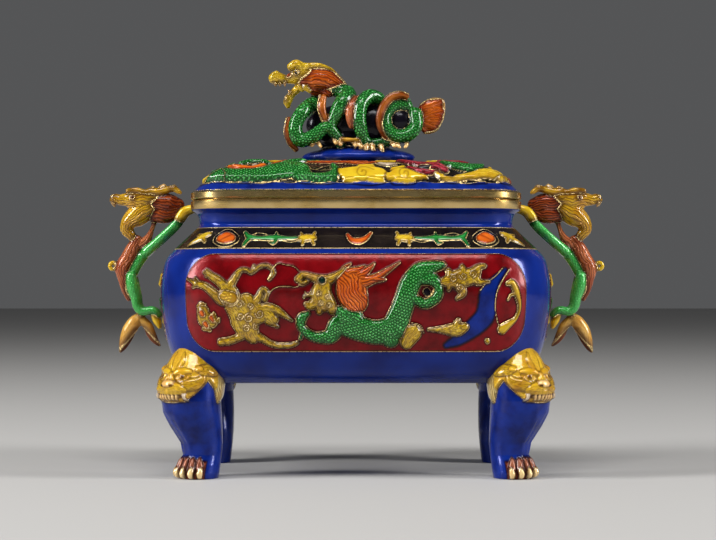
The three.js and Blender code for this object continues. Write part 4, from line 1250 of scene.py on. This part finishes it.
finial.zone(RUST, [
    [(15.6, -2, 88.6, 0.9), (18, -2, 90.6, 1.1), (20.9, -2, 91.7, 0.8)],
    [(16.4, -2, 90, 0.9), (18.2, -2, 91.7, 0.7)],
    [(16, -2, 87.8, 1), (18.8, -2, 88.9, 1.1), (21.4, -2, 89.2, 0.8)],
    [(18.6, -2, 87.4, 1), (21, -2, 87.4, 0.7)],
    [(16, -2, 86.8, 0.9), (18, -2, 86, 1), (19.9, -2, 85.4, 0.7)],
    [(16, -2, 86, 0.8), (17, -2, 84.6, 0.7)],
], lumps=[((18.6, -2, 88.2), (3.3, 1, 4.1))], hair=0.6)
finial.zone(BRIGHT, [
    [(16, -2, 91, 0.3), (18.4, -2, 92.3, 0.35), (21.4, -2, 92.3, 0.35), (22, -2, 90.4, 0.35),
     (21.8, -2, 88, 0.35), (20.4, -2, 85, 0.35), (19, -2, 84.1, 0.35), (17, -2, 83.8, 0.3)],
])
finial.zone(RUST, [
    [(-12.4, 0, 97.3, 2.4), (-10, 0, 97.3, 3), (-7.4, 0, 97, 3), (-4.8, 0, 95.9, 2.4),
     (-2.6, 0, 94.4, 1.5), (-1.2, 0, 93.2, 0.7)],
    [(-10.6, 0, 95.8, 2.2), (-8.4, 0, 94.9, 1.8), (-6.8, -1, 94, 1.3)],
], hair=0.8)
finial.zone(TAIL_GOLD, [
    [(-7.4, -0.4, 99.1, 0.5), (-5.2, -0.6, 98.3, 0.8), (-3.6, -0.6, 96.8, 0.8), (-2, -0.6, 95, 0.6),
     (-0.8, -0.6, 93.9, 0.4)],
], hair=0.5, lead=0.1)
finial.zone(HEAD_GOLD, [
    [(-12.4, 0, 98.4, 2.3), (-14.6, 0, 98.3, 2.2), (-16.2, 0, 97.7, 1.5), (-17.3, 0, 97.5, 1.1),
     (-18.7, 0, 97.6, 1.5), (-19.8, 0, 97.8, 1.8), (-20.4, 0, 97.8, 1.6)],
    *[[(-20.6, side * 0.8, 98.7, 0.6), (-19.8, side * 0.9, 99.1, 0.6)] for side in (-1, 1)],
    [(-13.2, 0, 96.2, 1.4), (-14.8, 0, 94.9, 1.1), (-16.2, 0, 93.6, 1), (-17.1, 0, 92, 1.2),
     (-17, 0, 90.8, 0.7)],
    *[[(-16.3, side * 1.2, 100.6, 1), (-14.9, side * 1.3, 101.1, 1.3), (-12.9, side * 1.2, 100.6, 1),
       (-9.4, side * 1.2, 100.9, 0.7), (-6.4, side, 100, 0.5), (-4.8, side * 0.8, 98.8, 0.35)]
      for side in (1, -1)],
    [(-14.2, -1.3, 95.6, 0.7), (-13.4, -1.5, 94.6, 0.5)],
    [(-12.6, -1.8, 95.4, 0.7), (-11.6, -1.9, 94.2, 0.5)],
], ripple=0.45)
finial.zone(RUST, [[(-16.8, y, 98.4, 0.5), (-16, y, 98.6, 0.5)] for y in (-1.2, 1.2)], lead=0.1)
upper_teeth = [[(x, y, 96.5, 0.35), (x, y, 95.8, 0.25)] for y in (-0.8, 0.8) for x in (-20.2, -19, -17.8)]
lower_teeth = [
    [(x, y, z, 0.35), (x - 0.3, y, z + 0.8, 0.25)]
    for y in (-0.7, 0.7) for x, z in ((-17.5, 92.4), (-16.6, 94))
]
finial.zone(BRIGHT, upper_teeth + lower_teeth)
finial.zone(PALE_METAL, lumps=[((-14.9, y, 98.9), (0.6, 0.5, 0.5)) for y in (-2, 2)])
finial.zone(CORE_BLACK, lumps=[((-15, y, 98.9), (0.3, 0.3, 0.3)) for y in (-2.5, 2.5)], lead=0.2)
finial_claws = [
    (-5.4, 82.2, 0.4), (-4.2, 81.8, 0.5), (-0.6, 81.6, 0.5), (0.6, 81.4, 0.6), (2.8, 81, -0.3),
    (4, 80.9, 0.3), (6.2, 80.8, 0.4), (9, 81.4, 0.5), (10.2, 81.2, 0.6), (12.6, 81.2, -0.4),
    (-10.4, 81.6, -0.5), (-9.2, 81.4, 0.5),
]
finial.zone(BRIGHT, [
    [(x, -5.4, z - 0.4, 0.55), (x + lean, -6.1, z - 1.2, 0.45)] for x, z, lean in finial_claws
], lead=0.1)
finial.zone(OCHRE, [[(-3.6, -5.4, 82, 0.6), (-1.4, -5.8, 81.9, 0.6), (0.6, -5.6, 81.8, 0.5)]], lead=0.1)
finial_piece = finial.fuse("finial_figure", 0.3)
finial_piece.data.materials.append(panel_enamel.material)
stands_on_root(finial_piece, "finial_enamel", "finial_dragon")

# Each handle is one brass casting in coloured enamel, a dragon that holds the rim with its forepaws and
# the belly with its hind feet. It is soldered on, and the left one is the right one turned half round.
handle = Figure()
back = [
    (50.6, 0, 56, 1.2), (52, 0, 54.8, 1.35), (54.2, 0, 52.2, 1.5), (55.8, 0, 49.6, 1.6),
    (56.6, 0, 47.2, 1.4), (56.8, 0, 45, 1.1), (56, 0, 43, 0.7),
]
forelegs = [
    [(52.4, y * 0.4, 54.2, 1.3), (48.6, y * 0.9, 57.6, 1.15), (45.8, y, 60.2, 1.1), (44.4, y, 61.7, 1.05)]
    for y in (-2.2, 2.2)
]
forepaws = [[(44, y, 62.6, 1.2), (42.6, y, 64.4, 1.2), (40.4, y, 65.2, 1)] for y in (-2.2, 2.2)]
hind_legs = [
    [(56, y, 48.2, 1.3), (55.7, y, 45.8, 1.55), (54.9, y, 43, 1.3), (54.5, y, 40.8, 1.2),
     (53.2, y, 39.5, 1.15), (50.8, y, 39.7, 1.1), (49.4, y, 38.6, 0.9)]
    for y in (-1.6, 1.6)
]
hind_feet = [[(50.2, y, 38.2, 0.9), (49.6, y, 36.9, 0.9), (49, y, 35.4, 0.4)] for y in (-1.6, 1.6)]
handle.zone(LIGHT_GREEN, [back] + forelegs + hind_legs, scales=0.3)
handle.zone(YELLOW, forepaws + hind_feet, hair=0.3)
handle.zone(CORAL, [
    [(54.6, 0, 57.4, 1.2), (55.8, 0, 55.2, 1.8), (57, 0, 52.6, 2), (58.2, 0, 50.2, 2.1),
     (58, 0, 47.6, 1.6), (57.8, 0, 45, 1), (56.8, 0, 42.6, 0.7)],
    [(50.4, 0, 61.8, 0.7), (51, 0, 60, 0.6), (52, 0, 57.8, 1), (54, 0, 56, 1.2)],
], hair=0.7)
scroll = [
    (60.75 + 0.85 * math.cos(math.radians(a)), -0.2, 50.8 + 0.85 * math.sin(math.radians(a)), 0.55)
    for a in range(0, 405, 45)
]
handle.zone(YELLOW, [scroll, [(59.6, 0, 50.8, 0.8), (58.8, 0, 50.9, 0.8)]])
handle.zone(TAIL_GOLD, [
    [(54, 0, 38, 1.3), (55.2, 0, 36.9, 1.7), (56.6, 0, 34.9, 1.8), (57.7, 0, 32.6, 1.4),
     (58.5, 0, 30.4, 0.8), (58.9, 0, 29.4, 0.4)],
    [(53.6, 0, 37.4, 1.2), (52, 0, 35.8, 1.2), (51, 0, 34, 1), (49.9, 0, 32, 0.7), (49, 0, 30.9, 0.35)],
], hair=0.25, ripple=0.3)
handle.zone(FIN_BROWN, [
    [(55.6, 0, 34.8, 0.9), (56.9, 0, 32.4, 0.9), (58.2, 0, 30.4, 0.8), (58.9, 0, 29.4, 0.42)],
    [(52.6, 0, 35.4, 0.6), (51.4, 0, 33.4, 0.8), (50, 0, 31.8, 0.7), (49, 0, 30.9, 0.37)],
], hair=0.25, lead=0.12)
handle.zone(MANE_BROWN, [
    [(50.6, 0, 66.4, 2.4), (47, 0, 66.4, 2.6), (44.8, 0, 66, 2)],
    [(50.2, 0, 63.8, 2.2), (47.6, 0, 63.6, 2.3), (45.2, 0, 63.8, 1.5)],
], hair=1.0)
handle.zone(OCHRE, [
    [(50.8, 0, 67.4, 2.4), (53, 0, 67.2, 2.9), (55.4, 0, 67.2, 2.6), (57.4, 0, 67.4, 1.8),
     (59, 0, 67.3, 1.4), (60.2, 0, 67.6, 1.35), (60.5, 0, 67.3, 1.2)],
    *[[(56.6, side * 1.4, 69.2, 0.8), (55.8, side * 1.5, 69.4, 0.9)] for side in (-1, 1)],
    [(52.2, 0, 65, 2.8), (54.6, 0, 63.4, 2.9), (56.6, 0, 61.8, 2.2), (57.4, 0, 59.9, 1.6),
     (56.2, 0, 58.4, 1.3), (55.6, 0, 57, 0.9)],
], hair=0.75)
horn_bumps = [
    [(x, y, z, 0.55), (x - 0.9, y, z + 0.5, 0.45)]
    for y in (-1.4, 1.4) for x, z in ((51.4, 69.9), (48.8, 70.4), (46.2, 70.3))
]
teeth = [[(60.9, y, 66.5, 0.4), (60.4, y, 65.8, 0.3)] for y in (-0.7, 0.7)]
nostrils = [[(61, y, 68.2, 0.35), (60.7, y, 68.5, 0.35)] for y in (-0.6, 0.6)]
horns = [
    [(51.6, y, 69.4, 0.9), (49.2, y, 69.3, 1), (47, y, 69.9, 0.8), (45.4, y, 70.1, 0.8),
     (44.2, y, 69.2, 0.6)]
    for y in (-1.5, 1.5)
]
brows = [[(56.8, y, 69.5, 0.7), (54.6, y, 69.6, 0.8), (52, y, 69, 0.6)] for y in (-1.9, 1.9)]
handle.zone(BRIGHT, horn_bumps + teeth + nostrils)
handle.zone(OCHRE, horns + brows, hair=0.3)
handle.zone(MAROON, lumps=[((55.6, y, 67.9), (0.45, 0.35, 0.4)) for y in (-2.45, 2.45)], lead=0.1)
right_handle = handle.fuse("handle_dragon_right", 0.27)
right_handle.data.materials.append(panel_enamel.material)
left_handle = copied(right_handle, "handle_dragon_left", HALF_TURN)
stands_on_root(right_handle, "handle_enamel", "handle_right")
stands_on_root(left_handle, "handle_enamel", "handle_left")

# Each leg is one brass casting: a blue enamelled shank that ends in a clawed paw, and a yellow lion's
# mask over the knee. It is soldered under a corner of the belly, and the mask looks outwards along the
# diagonal.
LEG_X, LEG_Y = 37.8, 20.6
LEG_TOP = 32.4
LEG_ARC = 8.0
FOOT_EDGE = 0.02
SHANK = np.array([
    # Height, radius, and how far its middle is moved outwards.
    (0, 4.7, -0.4), (1.3, 5, -0.3), (3.2, 4.9, -0.8), (5.6, 4.6, -1.6), (8.4, 4.9, -1.5),
    (12.4, 6.1, 0.2), (15.8, 6.9, 1.5), (18.6, 7.1, 2), (22, 7, 1.6), (27, 6.8, 1.2), (LEG_TOP, 0, 1.2),
])
MASK = np.array([
    # Height and radius.
    (18, 7.2), (20.2, 7.7), (22.4, 7.8), (25.2, 7.2), (27, 6.4), (28.4, 5.6), (29.8, 4.7), (31, 3.5),
    (31.9, 2), (LEG_TOP, 0),
])
MASK_EDGE = np.array([
    # Distance from the middle of the face, and the height at which the mask starts.
    (0, 18.3), (4.5, 18.6), (7.5, 20.8), (10.4, 23.4), (12.4, 21.6), (14.2, 18), (18, 18.4), (20.5, 24),
    (25, 25.5),
])
FACE_MIDDLE = -0.9
PAW_MIDDLE = -0.7
PAW_HALF = 8.6
TOES = 5
TOE_STEP = 3.3
MASK_YELLOW = (0.66, 0.4, 0.013)
LOCK_GOLD = (0.74, 0.55, 0.2)
# Painted shade: the dark brown of the mask's pits, its pupils, nostrils and mouth.
HOLLOW_SHADE = (0.16, 0.06, 0.004)
PAW_BROWN = (0.27, 0.085, 0.04)
CLAW_GOLD = (0.8, 0.6, 0.3)
# The grid is finer on the side that faces outwards, on the paw and on the mask.
leg_turn = np.concatenate([
    grid_lines(-math.pi, -2.0, 0.09)[:-1], grid_lines(-2.0, 2.0, 0.034)[:-1],
    grid_lines(2.0, math.pi, 0.09),
])
leg_z = np.concatenate([
    [FOOT_EDGE], grid_lines(FOOT_EDGE, 6, 0.24)[:-1], grid_lines(6, 17.6, 0.6)[:-1],
    grid_lines(17.6, 31.2, 0.26)[:-1],
    LEG_TOP - 1.2 * np.cos(np.linspace(0, math.pi / 2, 8)),
])
leg_cells = Cells(*np.meshgrid(leg_turn * LEG_ARC, leg_z), BLUE)
leg_x, leg_up = leg_cells.spots.T

# The mask ends below in an arch over the shank, and locks of hair fall at both of its sides.
from_face = np.abs(leg_x - FACE_MIDDLE)
above = leg_up - np.interp(from_face, *MASK_EDGE.T)
leg_cells.wire = np.abs(above)
# The enamel gets painted shade along the edge of the mask.
leg_cells.seam = np.abs(above)
leg_cells.tint[above > 0] = MASK_YELLOW
leg_cells.carving[above > 0] = (0, 0, 0.25)
in_locks = (above > 0) & (from_face > 12 + 0.25 * (leg_up - 18)) & (from_face < 20.5) & (leg_up < 27)
leg_cells.tint[in_locks] = LOCK_GOLD
leg_cells.carving[in_locks] = (0, 1, 0)
leg_cells.flow[in_locks] = leg_cells.spots[in_locks][:, ::-1]


def on_face(*points):
    """Points of the mask for both of its halves, and counted from its middle."""
    return [[(FACE_MIDDLE + side * x, z, *r) for x, z, *r in points] for side in (-1, 1)]


def carve(limbs, tint, level, **more):
    """Carves a form of the mask, without a wire round it."""
    leg_cells.lay(limbs, tint, level, wired=False, **more)


carve(on_face((4.6, 22.6, 1.5), (6.8, 22.8, 1.5), (8.6, 24, 1)), OCHRE, 0.6, ripple=0.5)
carve(on_face((8.6, 26, 1.3), (10.8, 25.8, 1.4), (12.6, 25.2, 0.8)), MASK_YELLOW, 0.8, ripple=0.7,
      round_off=1.6)
carve(on_face((7.2, 26.2, 0.7), (8, 26.4, 0.6)), MASK_YELLOW, 0.9)
carve(on_face((1.6, 26.4, 0.8), (2.4, 28.2, 0.9), (2.2, 29.6, 0.6)), MASK_YELLOW, 0.35, ripple=0.2,
      round_off=1.4)
carve(on_face((2, 24.5, 0.9), (3.6, 24.5, 1.1), (5.2, 24.8, 0.4)), OCHRE, -0.3)
carve(on_face((3, 24.3, 0.8), (3.6, 24.3, 0.8)), MASK_YELLOW, 0.5)
# The pupils are painted shade.
carve(on_face((3.2, 24.3, 0.42), (3.5, 24.3, 0.42)), HOLLOW_SHADE, 0.4)
carve(on_face((1.2, 25.5, 0.7), (3.2, 25.8, 0.8), (5.4, 25.7, 0.5)), MASK_YELLOW, 0.6, round_off=1.6)
carve([[(FACE_MIDDLE, 24.9, 0.8), (FACE_MIDDLE, 23.4, 1.5), (FACE_MIDDLE, 21.9, 2.2)]]
      + on_face((0.8, 21.9, 1.7), (2.6, 21.5, 1.4), (4, 21.2, 0.9)), MASK_YELLOW, 1.4, ripple=0.4,
      round_off=2.2)
# Painted highlight: a bright patch across the nose.
carve([[(FACE_MIDDLE - 0.9, 22.9, 0.8), (FACE_MIDDLE + 0.9, 22.9, 0.8)]], BRIGHT, 1.65, round_off=1.3)
# The nostrils are painted shade.
carve(on_face((1.1, 22.4, 0.25), (1.5, 22.5, 0.3)), HOLLOW_SHADE, 1.0)
leg_cells.draw(*on_face((0, 21.9), (0.5, 21.3), (2, 21), (4, 20.6), (5.2, 21)), groove=True)
# The mouth is painted shade.
carve([[(FACE_MIDDLE - 4, 20, 0.4), (FACE_MIDDLE, 19.7, 0.5), (FACE_MIDDLE + 4, 20, 0.4)]], HOLLOW_SHADE, 0.2)
for x in (0.5, 1.5, 2.5):
    carve(on_face((x, 19.9, 0.42), (x, 19.2, 0.36)), BRIGHT, 1.1, round_off=0.5)
carve(on_face((4.2, 20.2, 0.5), (4.5, 19.3, 0.4), (5.2, 18.9, 0.25)), PALE_METAL, 1.1, round_off=0.5)

# Three soft ridges run down the shank, and the paw below them has five toes with claws.
on_shank = np.clip((leg_up - 5) / 2, 0, 1) * np.clip((17.5 - leg_up) / 3, 0, 1)
for x in (-1.6, 4.6, 8.8):
    leg_cells.rise += 0.3 * np.exp(-((leg_x - x) / 1.1) ** 2) * on_shank
paw_top = 5.3 - 0.14 * np.abs(leg_x - PAW_MIDDLE)
paw_edge = np.minimum(paw_top - leg_up, PAW_HALF - np.abs(leg_x - PAW_MIDDLE))
in_paw = paw_edge > 0
leg_cells.tint[in_paw] = MAROON
# The enamel gets painted shade along the edge of the paw.
leg_cells.seam = np.minimum(leg_cells.seam, np.abs(paw_edge))
leg_cells.carving[in_paw] = (0, 0, 0.3)
for toe in range(TOES):
    spread = toe - (TOES - 1) / 2
    x = PAW_MIDDLE + spread * TOE_STEP
    carve([[(x - spread * 0.6, 4.4, 0.8), (x - spread * 0.3, 3.2, 1.25), (x, 2.1, 1.4)]], PAW_BROWN, 0.7,
          round_off=1.3)
    carve([[(x, 2, 0.9), (x, 1.3, 1.15), (x, 0.5, 0.95)]], CLAW_GOLD, 1.1, round_off=0.8)

# The painted shade along the seams of the mask is lighter than along those of the rest.
leg_cells.seam = np.where(above > 0.6, leg_cells.seam * 2 + 0.12, leg_cells.seam)
leg_cells.soften(len(leg_turn))


def place_leg(column, row):
    """Where the points of the leg's grid are, with +X along the diagonal. Its ends are closed."""
    index = row * len(leg_turn) + column
    z = leg_z[row]
    angle = leg_turn[column]
    shank, out = (np.interp(z, SHANK[:, 0], SHANK[:, part]) for part in (1, 2))
    mask = np.interp(z, *MASK.T)
    step = np.clip(above[index] / 0.8, 0, 1)
    step = step * step * (3 - 2 * step)
    fade = np.clip((LEG_TOP - z) / 1.8, 0, 1) * np.clip(z / 0.5, 0, 1)
    radius = shank + (mask - shank) * step + leg_cells.rise[index] * fade
    radius = np.where((row == 0) | (row == len(leg_z) - 1), 0, radius)
    return np.column_stack([out + radius * np.cos(angle), radius * np.sin(angle), z])


leg, leg_column, leg_row = sheet("leg_back_right_casting", len(leg_turn), len(leg_z), place_leg)
give_cells(leg, leg_cells, leg_row * len(leg_turn) + leg_column)
edit(leg, closed_up)
outward, aside, up = corners_of(leg).T
diagonal = math.sqrt(0.5)
place_corners(leg, np.column_stack([
    LEG_X + (outward + aside) * diagonal, LEG_Y + (outward - aside) * diagonal, up,
]))
edit(leg, closed_up)
bpy.ops.object.shade_smooth()
leg.data.materials.append(panel_enamel.material)
stands_on_root(leg, "leg_enamel", "leg_back_right")
for name, x, y in (("back_left", -1, 1), ("front_right", 1, -1), ("front_left", -1, -1)):
    other = copied(leg, "leg_" + name + "_casting", [(x, 0, 0), (0, y, 0), (0, 0, 1)])
    stands_on_root(other, "leg_enamel", "leg_" + name)
